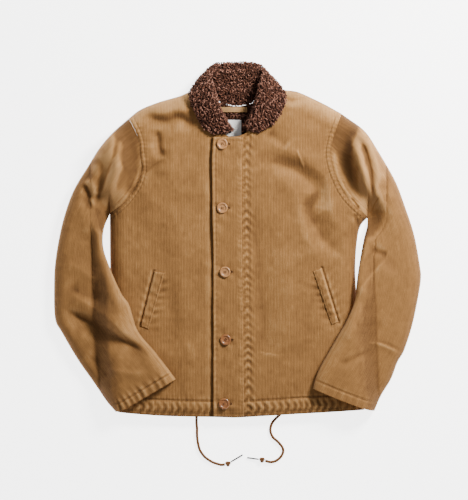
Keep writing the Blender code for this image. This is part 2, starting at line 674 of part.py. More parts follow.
def drawstring(group, side):
    """One free end: a round cord along its route, its knot and its stiff tip."""
    route = smooth_line(CORD_ROUTE[side])
    length = np.linalg.norm(np.diff(route, axis=0), axis=1).sum()
    points = evenly(CORD_ROUTE[side], round(length / CORD_SPACING)) * MM
    data = bpy.data.curves.new("drawstring_" + side, "CURVE")
    data.dimensions = "3D"
    data.bevel_depth = CORD_RADIUS * MM
    data.bevel_resolution = 2
    data.use_fill_caps = True
    spline = data.splines.new("POLY")
    spline.points.add(len(points) - 1)
    for place, point in zip(spline.points, points):
        place.co = (*point, 1.0)
    add_object(group, "drawstring_" + side, data, "cord")

    bm = bmesh.new()
    bmesh.ops.create_uvsphere(bm, u_segments=10, v_segments=7, radius=1.0)
    bmesh.ops.scale(bm, vec=[r * MM for r in KNOT_RADII], verts=bm.verts[:])
    knot = bpy.data.meshes.new("knot_" + side)
    bm.to_mesh(knot)
    bm.free()
    knot.shade_smooth()
    item = add_object(group, "knot_" + side, knot, "cord")
    item.location = [c * MM for c in (*KNOT_PLACE[side], KNOT_RADII[2] + 0.2)]

    start, end = (np.array(p, float) for p in TIP_ENDS[side])
    rise = (4.6, TIP_RADIUS + 0.2)
    ends = np.array([(*start, rise[0]), (*end, rise[1])]) * MM
    tip = bpy.data.curves.new("aglet_" + side, "CURVE")
    tip.dimensions = "3D"
    tip.bevel_depth = TIP_RADIUS * MM
    tip.bevel_resolution = 2
    tip.use_fill_caps = True
    spline = tip.splines.new("POLY")
    spline.points.add(1)
    for place, point in zip(spline.points, ends):
        place.co = (*point, 1.0)
    add_object(group, "aglet_" + side, tip, "tip")


def main():
    clear_scene()
    group = new_collection()
    cutters = bpy.data.collections.new("cutters")
    bpy.context.scene.collection.children.link(cutters)
    back(group)
    for side in ("right", "left"):
        front(group, side)
        sleeve(group, side)
        pocket_welt(group, side)
        drawstring(group, side)
    wind_flap(group)
    buttons(group, cutters)
    neck_lining(group)
    flat_strip(group, "hanger_loop", LOOP_X, LOOP_Y, LOOP_ARCH, LOOP_WALL, "tape", 9)
    flat_strip(group, "neck_label", LABEL_X, LABEL_Y, 0, LABEL_WALL, "label", 2)
    collar(group)


main()
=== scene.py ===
"""The look of the deck jacket: corded cotton with its folds and sewing, curly pile, buttons and cords.

Lengths are in millimetres and become metres where a mesh is made. Right and left are the wearer's, so
the right sleeve is at -X. The outlines, heights and cord routes are those of the part's own source.
"""

import functools
import math

import bmesh
import bpy
import numpy as np
from mathutils import Matrix, Vector


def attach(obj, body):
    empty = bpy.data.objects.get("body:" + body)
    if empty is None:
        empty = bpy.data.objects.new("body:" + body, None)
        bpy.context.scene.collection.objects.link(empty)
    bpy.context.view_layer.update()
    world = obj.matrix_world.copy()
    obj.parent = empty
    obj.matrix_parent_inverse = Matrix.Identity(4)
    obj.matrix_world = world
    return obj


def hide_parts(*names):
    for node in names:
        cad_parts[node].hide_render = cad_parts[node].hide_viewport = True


MM = 0.001

# Camera, straight above the jacket
PIXEL = 2.1                      # mm of cloth in a pixel of the photograph
VIEW_CENTRE = (-7.35, -21.0)
VIEW_LONG_SIDE = 500 * PIXEL
CAMERA_HEIGHT = 10000.0
SENSOR = 36.0

# Cloth
WALL = 4.0
SEAM_GAP = 0.3
SEWN_GAP = 0.5
REST_GAP = 1.2
SEAM_HEIGHT = 2 * WALL + SEAM_GAP
EDGE_ROUND = 34.0
SLEEVE_ROUND = 27.0
DRAPE_SLOPE = 0.8
DRAPE_LEVEL = 14.0
DRAPE_REACH = 52.0
DRAPE_STEP = 4.0
DRAPE_X = (-440, 440)
DRAPE_Y = (-440, 440)
ARMHOLE_BLEND = 48.0
CENTRE_X = -20.0

# Grid of each panel: a whole number of times the source's own, so that neighbours keep one seam
SIDE_ROWS = 168
ARMHOLE_ROWS = 104
CENTRE_ROWS = 212
FRONT_SPANS = 112
BACK_SHARE = 4
SLEEVE_GRIDS = {"top": (104, 16, 242), "under": (26, 4, 66)}  # armhole rows, of those underarm, sleeve rows
SLEEVE_FAN = 0.72
OUTER_FADE = 4.0
INNER_FADE = 30.0
SLEEVE_COLUMNS = (0, .03, .09, .18, .29, .41, .53, .65, .77, .87, .95, 1)
NECK_FROM = .29

# Outlines seen from above, as (x, y)
SIDE = {
    "right": [(-251, -361), (-261, -210), (-267, -63), (-268, 55)],
    "left": [(266, -356), (259, -294), (254, -210), (250, -126), (247, -63), (250, -10), (257, 28),
             (273, 48)],
}
ARMHOLE = {
    "right": [(-268, 55), (-238, 78), (-215, 109), (-201, 145), (-204, 181), (-209, 216), (-228, 255)],
    "left": [(273, 48), (249, 69), (229, 90), (213, 116), (201, 147), (195, 176), (198, 204),
             (207, 233), (218, 265)],
}
SHOULDER = {
    "right": [(-228, 255), (-203, 274), (-163, 290), (-121, 302), (-100, 311), (-72, 315)],
    "left": [(218, 265), (184, 284), (149, 301), (125, 311), (104, 314), (68, 317)],
}
NECKLINE = {
    "right": [(CENTRE_X, 217), (-27, 222), (-41, 244), (-56, 273), (-66, 298), (-72, 315)],
    "left": [(CENTRE_X, 217), (3, 218), (24, 229), (41, 254), (51, 279), (60, 300), (68, 317)],
}
HEM = {
    "right": [(-251, -361), (-209, -365), (-150, -369), (-58, -371), (CENTRE_X, -372)],
    "left": [(266, -356), (190, -361), (102, -366), (5, -372), (CENTRE_X, -372)],
}
BACK_NECK = [(-72, 315), (-49, 292), (-1, 279), (45, 292), (68, 317)]
SLEEVE_OUTER = {
    "right": [(-228, 255), (-256, 230), (-289, 193), (-316, 151), (-341, 110), (-357, 71), (-371, 21),
              (-382, -42), (-385, -94), (-383, -164), (-368, -195), (-335, -251), (-300, -301),
              (-276, -336), (-255, -360)],
    "left": [(218, 265), (264, 230), (293, 189), (330, 126), (352, 69), (371, 10), (383, -55),
             (385, -80), (380, -116), (367, -178), (350, -231), (336, -256), (322, -292), (302, -325),
             (287, -358)],
}
SLEEVE_INNER = {
    "right": [(-268, 55), (-280, 25), (-282, -10), (-272, -46), (-244, -109), (-226, -136),
              (-208, -190), (-173, -233), (-146, -268), (-129, -291)],
    "left": [(273, 48), (272, 28), (265, 2), (258, -34), (251, -78), (244, -130), (226, -172), (214, -193),
             (190, -235), (170, -271), (161, -296), (158, -311)],
}
CUFF = {
    "right": [(-255, -360), (-238, -355), (-184, -324), (-129, -291)],
    "left": [(287, -358), (267, -354), (215, -335), (158, -311)],
}
CROWN_Y = (-372, -350, -250, -60, 150, 250, 317)
CROWN_Z = (20, 26, 29, 33, 36, 35, 32)
SLEEVE_T = (0, .3, .6, .9, 1)
SLEEVE_Z = (35, 33, 31, 27, 24)

# Folds: panel, widths on the left and on the right of the line as one walks along it, rise (below 0 for
# a trough), and the line
FOLDS = [
    # under the right shoulder
    ("body", 12, 17, -8, [(-201, 273), (-188, 261), (-173, 253), (-149, 250), (-124, 256), (-101, 245),
                          (-85, 227)]),
    ("body", 14, 12, 4, [(-192, 277), (-163, 267), (-129, 273), (-96, 265)]),
    # pit at the right chest
    ("body", 7, 12, -6, [(-168, 235), (-166, 212), (-163, 189), (-153, 170)]),
    ("body", 8, 16, -6, [(-152, 174), (-180, 153), (-201, 136), (-217, 111), (-238, 86)]),
    ("body", 16, 16, 3, [(-184, 210), (-184, 178), (-209, 151)]),
    ("body", 16, 16, 2, [(-138, 210), (-138, 168), (-171, 134)]),
    # beside the right pocket
    ("body", 26, 26, -2, [(-184, -74), (-142, -126), (-129, -189), (-163, -235)]),
    ("body", 30, 30, 2.5, [(-110, 84), (-121, -42), (-104, -189), (-121, -304)]),
    # long diagonal fold of the left chest
    ("body", 20, 14, -9, [(30, 172), (60, 166), (91, 161), (125, 145), (156, 120), (167, 97), (154, 71),
                          (154, 50), (169, 27), (186, -2), (209, -23), (240, -42)]),
    ("body", 22, 16, 4, [(51, 210), (100, 189), (138, 168), (184, 134), (194, 84), (207, 38), (228, 0)]),
    ("body", 14, 18, 3, [(51, 139), (100, 122), (127, 84), (135, 32), (156, -17), (194, -63)]),
    ("body", 3, 3, 1.6, [(123, 193), (131, 172), (140, 147)]),
    # under the left collar
    ("body", 14, 14, -4, [(60, 227), (81, 214), (106, 195)]),
    ("body", 9, 9, -4, [(91, 306), (114, 294), (142, 302)]),
    # beside the flap
    ("body", 26, 20, -5, [(24, 84), (43, -21), (51, -126), (56, -202), (39, -235), (60, -277)]),
    ("body", 30, 30, 3, [(100, 0), (114, -126), (100, -252)]),
    ("body", 14, 14, -3, [(156, -74), (173, -126), (203, -189)]),
    # at the left armpit
    ("body", 5, 5, -3, [(243, 57), (251, 40), (259, 19)]),
    ("body", 3.5, 3.5, -4, [(235, 91), (246, 78), (257, 62)]),
    # deep fold of the right upper arm
    ("right", 9, 16, -10, [(-258, 237), (-253, 214), (-257, 185), (-271, 145), (-288, 101), (-299, 59)]),
    ("right", 12, 10, 6, [(-238, 223), (-236, 185), (-249, 141), (-266, 92), (-276, 50)]),
    ("right", 14, 9, -5, [(-281, 176), (-285, 136), (-288, 107), (-297, 63)]),
    ("right", 10, 10, 3, [(-297, 168), (-303, 130), (-306, 94)]),
    # hollow at the right elbow
    ("right", 5, 12, -6, [(-331, 113), (-318, 110), (-312, 97), (-313, 80), (-303, 61)]),
    ("right", 12, 10, 5, [(-318, 130), (-306, 113), (-299, 88)]),
    ("right", 4, 15, 8, [(-303, 69), (-295, 48), (-290, 25), (-282, 0), (-274, -34)]),
    ("right", 14, 12, 3, [(-331, 92), (-322, 52), (-314, 0)]),
    ("right", 10, 12, 4, [(-217, 189), (-230, 136), (-253, 74)]),
    # folds at the right forearm
    ("right", 16, 12, -5, [(-360, -90), (-335, -107), (-303, -121), (-278, -128)]),
    ("right", 16, 20, 8, [(-364, -103), (-331, -122), (-293, -147), (-255, -176), (-226, -206),
                          (-205, -223)]),
    ("right", 10, 26, -12, [(-373, -139), (-339, -160), (-303, -178), (-268, -196), (-236, -214),
                            (-205, -231), (-180, -250)]),
    ("right", 8, 9, 5, [(-251, -105), (-230, -122), (-222, -143), (-217, -172)]),
    ("right", 18, 18, 4, [(-341, -189), (-299, -214), (-251, -244)]),
    ("right", 12, 16, -4, [(-320, -242), (-289, -260), (-264, -294)]),
    ("right", 10, 10, 2.5, [(-278, -265), (-226, -277), (-188, -275)]),
    ("right", 14, 14, 3, [(-369, -46), (-331, -59), (-289, -94)]),
    # deep fold of the left upper arm
    ("left", 6, 9, -11, [(249, 223), (256, 206), (265, 189), (272, 166), (278, 138), (281, 103),
                         (285, 69)]),
    ("left", 12, 8, 5, [(261, 231), (276, 206), (287, 176), (293, 136), (295, 105)]),
    ("left", 10, 10, 5, [(230, 227), (247, 189), (261, 151), (272, 113)]),
    ("left", 20, 8, -9, [(203, 195), (217, 158), (236, 116), (257, 82), (274, 59)]),
    ("left", 3, 7, -4, [(298, 94), (287, 74), (276, 48)]),
    ("left", 14, 14, 4, [(310, 126), (324, 63), (331, 0)]),
    # ridge along the left forearm
    ("left", 28, 9, 8, [(318, -34), (301, -52), (282, -74), (261, -99), (245, -124)]),
    ("left", 8, 6, -4, [(280, -22), (297, -25), (315, -32)]),
    ("left", 10, 10, -5, [(270, 0), (282, -21), (266, -46), (236, -84)]),
    ("left", 8, 10, -3.5, [(207, -258), (233, -252), (255, -240), (287, -231)]),
    ("left", 4, 7, 2.6, [(268, -213), (301, -219), (343, -238)]),
    ("left", 14, 14, -2.5, [(240, -172), (274, -181), (312, -172)]),
    ("left", 16, 16, 2.5, [(215, -210), (240, -189), (274, -151)]),
]

# Soft unevenness of pressed and washed cloth: wave size and height
UNEVEN = [(95, 1.5), (42, .9), (19, .5), (9, .22)]

# Sewing
CASING = 34.0          # height of the hem's drawstring casing above the hem
HEM_STITCH = 8.5
STITCH_PITCH = 3.4
STITCH_SIZE = (1.25, .42, .4)
FELL = (2.2, 9.0)      # the two rows of an armhole seam, in from the seam
CUFF_STITCH = {"right": 17.0, "left": 19.0}

FLAP_Y = (-371, -294, -189, -42, 84, 168, 216)
FLAP_LEFT_X = (-51, -51, -51, -51, -53, -54, -51)
FLAP_RIGHT_X = (14, 13, 12, 10, 9, 9, 12)
FLAP_WALL = 3.0
FLAP_ROWS = 300
FLAP_SPANS = 40

BUTTON_PLACES = [(-32, 201), (-32, 67), (-26, -67), (-25, -209), (-28, -343)]
BUTTON_TURNS = (8, -5, 0, 38, 12)
BUTTON_RADIUS = 11.5
BUTTON_THICK = 4.2
BUTTON_HOLE_RADIUS = 1.05
BUTTON_HOLE_OUT = 2.4

WELTS = {
    "right": [(-152, -69), (-175, -65), (-204, -180), (-186, -188)],
    "left": [(158, -65), (177, -58), (212, -172), (197, -178)],
}
WELT_WALL = 2.5

LINING_TOP = [(-58, 300), (-47, 292), (-1, 280), (44, 292), (55, 301)]
LINING_SIDES = {"right": [(-75, 120), (-71, 210), (-58, 300)], "left": [(72, 120), (68, 210), (55, 301)]}
LINING_THICK = 6.0
LOOP_X = (-34.5, 20)
LOOP_Y = (268, 279)
LOOP_ARCH = 4.0
LOOP_WALL = 1.6
LABEL_X = (-34, 8)
LABEL_Y = (206, 252)
LABEL_WALL = 0.8

# Collar: neck seam x, y; roll x, y; outer edge x, y; height of the roll; 1 where it lies back flat
COLLAR = [
    (-17, 224, -9, 229, -27, 222, 42, 0),
    (-28, 231, -18, 240, -54, 223, 47, 0),
    (-40, 248, -27, 255, -72, 235, 51, 0),
    (-51, 270, -38, 277, -86, 258, 54, 0),
    (-60, 292, -45, 298, -97, 284, 55, 0),
    (-65, 305, -50, 321, -105, 307, 52, .08),
    (-58, 305, -55, 346, -98, 332, 44, .35),
    (-46, 297, -54, 364, -72, 360, 30, .8),
    (-33, 290, -38, 370, -41, 372, 22, 1),
    (0, 284, 0, 372.1, 0, 372.1, 20, 1),
    (30, 290, 36, 370, 39, 372, 22, 1),
    (43, 297, 51, 362, 66, 362, 30, .8),
    (54, 307, 49, 346, 90, 336, 44, .35),
    (60, 308, 45, 319, 104, 309, 52, .08),
    (51, 288, 39, 292, 99, 284, 55, 0),
    (42, 265, 31, 267, 87, 258, 54, 0),
    (33, 247, 23, 250, 68, 237, 51, 0),
    (24, 236, 16, 242, 47, 226, 47, 0),
    (17, 229, 11, 236, 26, 226, 42, 0),
]
COLLAR_FOOT = 12.4
COLLAR_EDGE_THICK = 10.0
COLLAR_RINGS_PER_STATION = 10
COLLAR_SECTION = 64
COLLAR_SHELL = 7.5
ROLL_OUT = (0, 0, 0, .12, .38, .68, .92, 1)
ROLL_UP = (0, .5, .86, 1, .97, .72, .42, .2)
LAID_OUT = (0, 0, .26, .5, .76, .93, 1, .97, .88)
LAID_Z = (8, 12, 16, 14, 18, 14, 7, 1, 0)
CURL_SPACING = 4.3
CURL_THICK = 1.25
CURL_BEND = 2.1

# Drawstring ends
CORD_RADIUS = 3.0
FLOOR_Z = CORD_RADIUS + 0.1
CORD_ROUTE = {
    "right": [(-86, -352, 9), (-86, -362, 8.6), (-86, -373, 7.8), (-86, -384, 5.4), (-85, -396, FLOOR_Z),
              (-85, -408, FLOOR_Z), (-84, -420, FLOOR_Z), (-82, -431, FLOOR_Z), (-79, -441, FLOOR_Z),
              (-74, -449, FLOOR_Z), (-68, -456, FLOOR_Z), (-60, -462, FLOOR_Z), (-51, -467, FLOOR_Z),
              (-42, -470, FLOOR_Z), (-34, -472, 3.6), (-26.8, -471, 5)],
    "left": [(98, -350, 9), (94, -358, 8.6), (89, -366, 7.8), (81, -374, 6), (74, -382, FLOOR_Z),
             (70, -391, FLOOR_Z), (69, -400, FLOOR_Z), (71, -408, FLOOR_Z), (75, -415, FLOOR_Z),
             (82, -421, FLOOR_Z), (88, -427, FLOOR_Z), (94, -435, FLOOR_Z), (96, -443, FLOOR_Z),
             (93, -452, FLOOR_Z), (86, -460, FLOOR_Z), (77, -465, FLOOR_Z), (68, -466, 3.6),
             (58.2, -463.3, 5)],
}
KNOT_PLACE = {"right": (-20, -469.5), "left": (51.5, -461.5)}
KNOT_RADII = (6.6, 6.2, 5.6)
TIP_ENDS = {"right": ((-14.3, -465.8), (11, -451)), "left": ((44.7, -460.4), (20, -457))}
TIP_RADIUS = 1.7


def linear(hex_colour):
    """An sRGB hex colour as linear RGB with alpha."""
    parts = [int(hex_colour[k:k + 2], 16) / 255 for k in (1, 3, 5)]
    return tuple(c / 12.92 if c <= 0.04045 else ((c + 0.055) / 1.055) ** 2.4 for c in parts) + (1.0,)


def smooth(t):
    t = np.clip(t, 0.0, 1.0)
    return t * t * (3.0 - 2.0 * t)


def rounded(depth):
    """The height of a round edge, 0 at the edge and 1 from a depth of 1 on."""
    t = np.clip(depth, 0.0, 1.0)
    return np.sqrt(1.0 - (1.0 - t) ** 2)


def smooth_line(points, per_span=12):
    """A Catmull-Rom line through the points of a table."""
    p = np.array(points, float)
    p = np.vstack([2 * p[0] - p[1], p, 2 * p[-1] - p[-2]])
    t = np.linspace(0, 1, per_span, endpoint=False)[:, None]
    spans = [
        0.5 * (2 * b + (c - a) * t + (2 * a - 5 * b + 4 * c - d) * t**2 + (3 * b - a - 3 * c + d) * t**3)
        for a, b, c, d in zip(p, p[1:], p[2:], p[3:])
    ]
    return np.vstack(spans + [p[-2][None, :]])


def line_length(points):
    return np.linalg.norm(np.diff(smooth_line(points), axis=0), axis=1).sum()


def along(points, shares):
    """Points at these shares of the smooth line's length."""
    line = smooth_line(points)
    length = np.r_[0, np.cumsum(np.linalg.norm(np.diff(line, axis=0), axis=1))]
    at = np.asarray(shares, float) * length[-1]
    return np.stack([np.interp(at, length, line[:, k]) for k in range(line.shape[1])], axis=1)


def evenly(points, spans):
    return along(points, np.linspace(0, 1, spans + 1))


def patch(first_row, last_row, first_column, last_column, shares, first_fades=1.0):
    """A grid of plan points between four edges that meet at the corners."""
    u = np.asarray(shares, float)[None, :, None]
    v = np.linspace(0, 1, len(first_column))[:, None, None]
    straight = (1 - u) * first_column[:, None] + u * last_column[:, None]
    first_bend = first_row[None] - ((1 - u) * first_row[0] + u * first_row[-1])
    last_bend = last_row[None] - ((1 - u) * last_row[0] + u * last_row[-1])
    return straight + (1 - v) ** first_fades * first_bend + v * last_bend


def line_distance(x, y, points):
    """How far each place is from a line, the share of its length that is nearest, and 1 on its left."""
    line = smooth_line(points, 4)
    step = np.linalg.norm(np.diff(line, axis=0), axis=1)
    start = np.r_[0, np.cumsum(step)][:-1]
    best = np.full(np.shape(x), 1e9)
    share = np.zeros(np.shape(x))
    left = np.zeros(np.shape(x))
    for a, b, length, before in zip(line, line[1:], step, start):
        t = ((x - a[0]) * (b[0] - a[0]) + (y - a[1]) * (b[1] - a[1])) / max(length**2, 1e-9)
        t = np.clip(t, 0, 1)
        away = np.hypot(x - a[0] - t * (b[0] - a[0]), y - a[1] - t * (b[1] - a[1]))
        nearer = away < best
        best = np.where(nearer, away, best)
        share = np.where(nearer, (before + t * length) / step.sum(), share)
        turned = (b[0] - a[0]) * (y - a[1]) - (b[1] - a[1]) * (x - a[0])
        left = np.where(nearer, turned > 0, left)
    return best, share, left


def soft_noise(x, y, size, seed):
    """Smooth random waves of a given size, from -1 to 1."""
    grid = np.random.RandomState(seed).uniform(-1, 1, (64, 64))
    u, v = np.asarray(x) / size + 31.3, np.asarray(y) / size + 17.7
    c, r = np.floor(u).astype(int), np.floor(v).astype(int)
    s, t = smooth(u - c), smooth(v - r)
    low = grid[r % 64, c % 64] * (1 - s) + grid[r % 64, (c + 1) % 64] * s
    high = grid[(r + 1) % 64, c % 64] * (1 - s) + grid[(r + 1) % 64, (c + 1) % 64] * s
    return low * (1 - t) + high * t


def fold_height(panel, x, y):
    """The sum of one panel's folds: soft ridges and troughs, steeper on one side, that fade at their ends."""
    height = np.zeros(np.shape(x))
    for owner, left_width, right_width, rise, line in FOLDS:
        if owner == panel:
            away, share, left = line_distance(x, y, line)
            width = np.where(left > 0.5, left_width, right_width)
            fade = smooth(4 * np.minimum(share, 1 - share))
            height += rise * fade * np.exp(-((away / width) ** 1.7))
    return height


def uneven_height(x, y, seed):
    return sum(rise * soft_noise(x, y, size, seed + k) for k, (size, rise) in enumerate(UNEVEN))


def groove(away, width, depth):
    return -depth * np.exp(-((away / width) ** 2))


def puckers(away, share, length, pitch, reach, rise, slant, seed):
    """Small uneven waves across a row of sewing, which pulls the cloth together."""
    s = share * length
    drift = soft_noise(s, 0 * s, 2.6 * pitch, seed)
    strength = 0.35 + 0.65 * np.abs(soft_noise(s, 0 * s + 9, 1.7 * pitch, seed + 1))
    wave = np.sin(2 * math.pi * (s + slant * away) / pitch + 3.2 * drift)
    return rise * strength * wave * np.exp(-((away / reach) ** 2))


def side_x(side, y):
    line = smooth_line(SIDE[side])
    return np.interp(y, line[:, 1], line[:, 0])


def shoulder_y(x):
    """The shoulder line, carried on over both sleeve heads."""
    right = [(-341, 110), (-316, 151), (-289, 193), (-256, 230)] + SHOULDER["right"]
    left = SHOULDER["left"][::-1] + [(264, 230), (293, 189), (330, 126), (352, 69)]
    line = np.array(right + left, float)
    return np.interp(x, line[:, 0], line[:, 1])


def hem_y(x):
    line = smooth_line(HEM["right"] + HEM["left"][-2::-1])
    return np.interp(x, line[:, 0], line[:, 1])


def body_inside(x, y):
    """From 0 at the side and shoulder seams to 1 where the body has its full height."""
    inside = rounded((x - side_x("right", y)) / EDGE_ROUND)
    inside = inside * rounded((side_x("left", y) - x) / EDGE_ROUND)
    return inside * rounded((shoulder_y(x) - y) * 0.93 / EDGE_ROUND)


def body_top(x, y):
    """Height of the fronts' outer surface, with its large folds."""
    crown = np.interp(y, CROWN_Y, CROWN_Z)
    folds = fold_height("body", x, y)
    return SEAM_HEIGHT + (crown - SEAM_HEIGHT + folds) * body_inside(x, y)


def body_sewing(x, y):
    """The small relief that sewing gives the fronts: hem casing, armhole fell, flap seam and welts."""
    height = np.zeros(np.shape(x))
    up = y - hem_y(x)
    in_casing = smooth((CASING - up) / 3)
    height += groove(up - CASING, 1.9, 1.7) + groove(up - HEM_STITCH, 1.6, .7) + .7 * in_casing
    wave = puckers(np.abs(up - .5 * CASING), (x + 300) / 600, 600, 15, .62 * CASING, 1.25, .55, 41)
    height += wave * smooth((CASING - up) / 6)
    height += puckers(np.abs(up - HEM_STITCH), (x + 300) / 600, 600, 7.5, 7, .45, -.4, 45)
    height += puckers(np.abs(up - CASING), (x + 300) / 600, 600, 11, 13, .4, .2, 49)
    for side in ("right", "left"):
        away, share, _ = line_distance(x, y, ARMHOLE[side])
        length = line_length(ARMHOLE[side])
        height += 1.0 * smooth((FELL[1] + 1.5 - away) / 2.5) + groove(away, 1.6, 1.4)
        height += groove(away - FELL[0], 1.1, .5) + groove(away - FELL[1], 1.5, .9)
        height += puckers(np.abs(away - 6), share, length, 8.5, 9, .6, .3, 53)
    flap = np.interp(y, FLAP_Y, FLAP_RIGHT_X)
    beside = x - flap
    height += puckers(np.abs(beside - 9), (y + 372) / 600, 600, 17, 11, 1.3, .9, 61) * (beside > -8)
    height += puckers(np.abs(beside - 6), (y + 372) / 600, 600, 8, 6, .6, -.5, 63) * (beside > -8)
    height += groove(beside - 15, 1.8, .9)
    edge = np.interp(y, FLAP_Y, FLAP_LEFT_X)
    height += groove(x - edge, 7, 2.2)
    for side, corners in WELTS.items():
        inner_top, outer_top, outer_low, inner_low = corners
        away, share, _ = line_distance(x, y, [outer_top, outer_low])
        height += groove(away, 2.6, 3.0)
        for line, seed in (([inner_top, inner_low], 71), ([outer_top, outer_low], 75)):
            away, share, _ = line_distance(x, y, line)
            fade = smooth(8 * np.minimum(share, 1 - share))
            height += fade * puckers(away, share, 115, 17, 13, .9, .4, seed)
        away, share, _ = line_distance(x, y, [inner_top, inner_low])
        height += .8 * np.exp(-((away / 26) ** 4)) * smooth(8 * np.minimum(share, 1 - share))
    return height


def body_height(x, y):
    inside = body_inside(x, y)
    fine = uneven_height(x, y, 3) * inside + body_sewing(x, y) * np.clip(0.25 + inside, 0, 1)
    return np.maximum(body_top(x, y) + fine, SEAM_HEIGHT)


def on_body(x, y):
    inside = (x > side_x("right", y)) & (x < side_x("left", y)) & (y > -372) & (y < shoulder_y(x))
    return np.where(inside, body_top(x, y), 0.0)


@functools.lru_cache
def drape_grid():
    """Height of cloth laid over the body: the body's top, with a slope down to the surface beside it."""
    x, y = np.meshgrid(np.arange(*DRAPE_X, DRAPE_STEP), np.arange(*DRAPE_Y, DRAPE_STEP))
    body = on_body(x, y)
    height = body.copy()
    steps = round(DRAPE_REACH / DRAPE_STEP)
    for row in range(-steps, steps + 1):
        for column in range(-steps, steps + 1):
            lower = DRAPE_SLOPE * max(0, DRAPE_STEP * math.hypot(row, column) - DRAPE_LEVEL)
            height = np.maximum(height, np.roll(body, (row, column), (0, 1)) - lower)
    return height


def draped_over_body(x, y):
    height = drape_grid()
    column = np.clip((np.asarray(x, float) - DRAPE_X[0]) / DRAPE_STEP, 0, height.shape[1] - 1.001)
    row = np.clip((np.asarray(y, float) - DRAPE_Y[0]) / DRAPE_STEP, 0, height.shape[0] - 1.001)
    c, r = column.astype(int), row.astype(int)
    u, v = column - c, row - r
    low = height[r, c] * (1 - u) + height[r, c + 1] * u
    high = height[r + 1, c] * (1 - u) + height[r + 1, c + 1] * u
    return low * (1 - v) + high * v


def with_height(plan, height):
    return np.dstack([plan, height])


def blurred(height, reach):
    """A height map smoothed over so many of its own points each way."""
    out = height
    for axis in (0, 1):
        padded = np.concatenate([np.repeat(np.take(out, [0], axis), reach, axis), out,
                                 np.repeat(np.take(out, [-1], axis), reach, axis)], axis)
        total = np.cumsum(padded, axis=axis)
        width = out.shape[axis]
        top = np.take(total, range(2 * reach, 2 * reach + width), axis)
        low = np.take(total, range(0, width), axis)
        out = (top - low) / (2 * reach)
    return out


def offset_inwards(outer, thick, lowest):
    """The inner side of a wall: straight down along its rim, and square to it where it is steep."""
    across = np.gradient(outer, axis=1)
    up = np.gradient(outer, axis=0)
    normal = np.cross(across, up)
    normal /= np.maximum(np.linalg.norm(normal, axis=2, keepdims=True), 1e-9)
    normal *= np.sign(normal[..., 2:3])
    steep = smooth((1.0 - normal[..., 2] - 0.1) / 0.3)
    steep[0] = steep[-1] = 0
    steep[:, 0] = steep[:, -1] = 0
    way = normal.copy()
    way[..., :2] *= steep[..., None] * 0.5
    way[..., 2] = np.sqrt(np.maximum(1 - way[..., 0] ** 2 - way[..., 1] ** 2, 0.05))
    inner = outer - thick * way
    inner[..., 2] = np.maximum(inner[..., 2], lowest)
    return inner


def finished(name, mesh, finish):
    """A piece that stands at the origin with one finish and rides on the part's one body."""
    mesh.materials.append(finish)
    piece = bpy.data.objects.new(name, mesh)
    bpy.context.scene.collection.objects.link(piece)
    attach(piece, "root")
    return piece


def cloth(name, upper, lower, finish, weave=None, tone=None):
    """A closed wall between two grids of points, from one grid that is extruded and shaped.

    The grid carries two attributes for its finish: weave, the cloth's own places in mm with the strength
    of its cords, and tone, above 0 on ridges, where the cloth has faded from wear, and below 0 in dimples,
    where it paints shade into the colour.
    """
    rows, columns = upper.shape[:2]
    count = rows * columns
    bm = bmesh.new()
    bmesh.ops.create_grid(bm, x_segments=columns - 1, y_segments=rows - 1, size=1.0)
    place = bm.verts.layers.int.new("place")
    for vert in bm.verts:
        column = round((vert.co.x + 1) / 2 * (columns - 1))
        row = round((vert.co.y + 1) / 2 * (rows - 1))
        vert[place] = row * columns + column
    made = bmesh.ops.extrude_face_region(bm, geom=bm.faces[:], use_keep_orig=True)
    for item in made["geom"]:
        if isinstance(item, bmesh.types.BMVert):
            item.co.z = 1.0
            item[place] += count
    bmesh.ops.recalc_face_normals(bm, faces=bm.faces[:])
    mesh = bpy.data.meshes.new(name)
    bm.to_mesh(mesh)
    bm.free()
    order = np.zeros(2 * count, np.int32)
    mesh.attributes["place"].data.foreach_get("value", order)
    points = np.concatenate([lower.reshape(-1, 3), upper.reshape(-1, 3)])[order] * MM
    mesh.vertices.foreach_set("co", points.ravel())
    if weave is None:
        weave = np.dstack([upper[..., 0], upper[..., 1], np.ones((rows, columns))])
    if tone is None:
        tone = np.zeros((rows, columns))
    data = mesh.attributes.new("weave", "FLOAT_VECTOR", "POINT").data
    data.foreach_set("vector", np.tile(weave.reshape(-1, 3), (2, 1))[order].astype(np.float32).ravel())
    data = mesh.attributes.new("tone", "FLOAT", "POINT").data
    data.foreach_set("value", np.tile(tone.ravel(), 2)[order].astype(np.float32))
    mesh.attributes.remove(mesh.attributes["place"])
    mirrored = np.cross(upper[0, 1] - upper[0, 0], upper[1, 0] - upper[0, 0])[2] < 0
    if mirrored:
        mesh.flip_normals()
    mesh.update()
    mesh.shade_smooth()
    mesh.set_sharp_from_angle(angle=math.radians(55))
    return finished(name, mesh, finish)


def copies(name, template, places, turns, finish, tints=None):
    """One mesh of many small like pieces, such as stitches: a template moved and turned to each place."""
    count = len(template.vertices)
    base = np.zeros(count * 3)
    template.vertices.foreach_get("co", base)
    base = base.reshape(-1, 3)
    loops = [tuple(face.vertices) for face in template.polygons]
    points = np.einsum("nij,kj->nki", turns, base) + places[:, None]
    faces = [tuple(v + n * count for v in loop) for n in range(len(places)) for loop in loops]
    mesh = bpy.data.meshes.new(name)
    mesh.from_pydata((points.reshape(-1, 3) * MM).tolist(), [], faces)
    if tints is not None:
        data = mesh.attributes.new("tint", "FLOAT", "POINT").data
        data.foreach_set("value", np.repeat(tints, count).astype(np.float32))
    mesh.shade_smooth()
    return finished(name, mesh, finish)


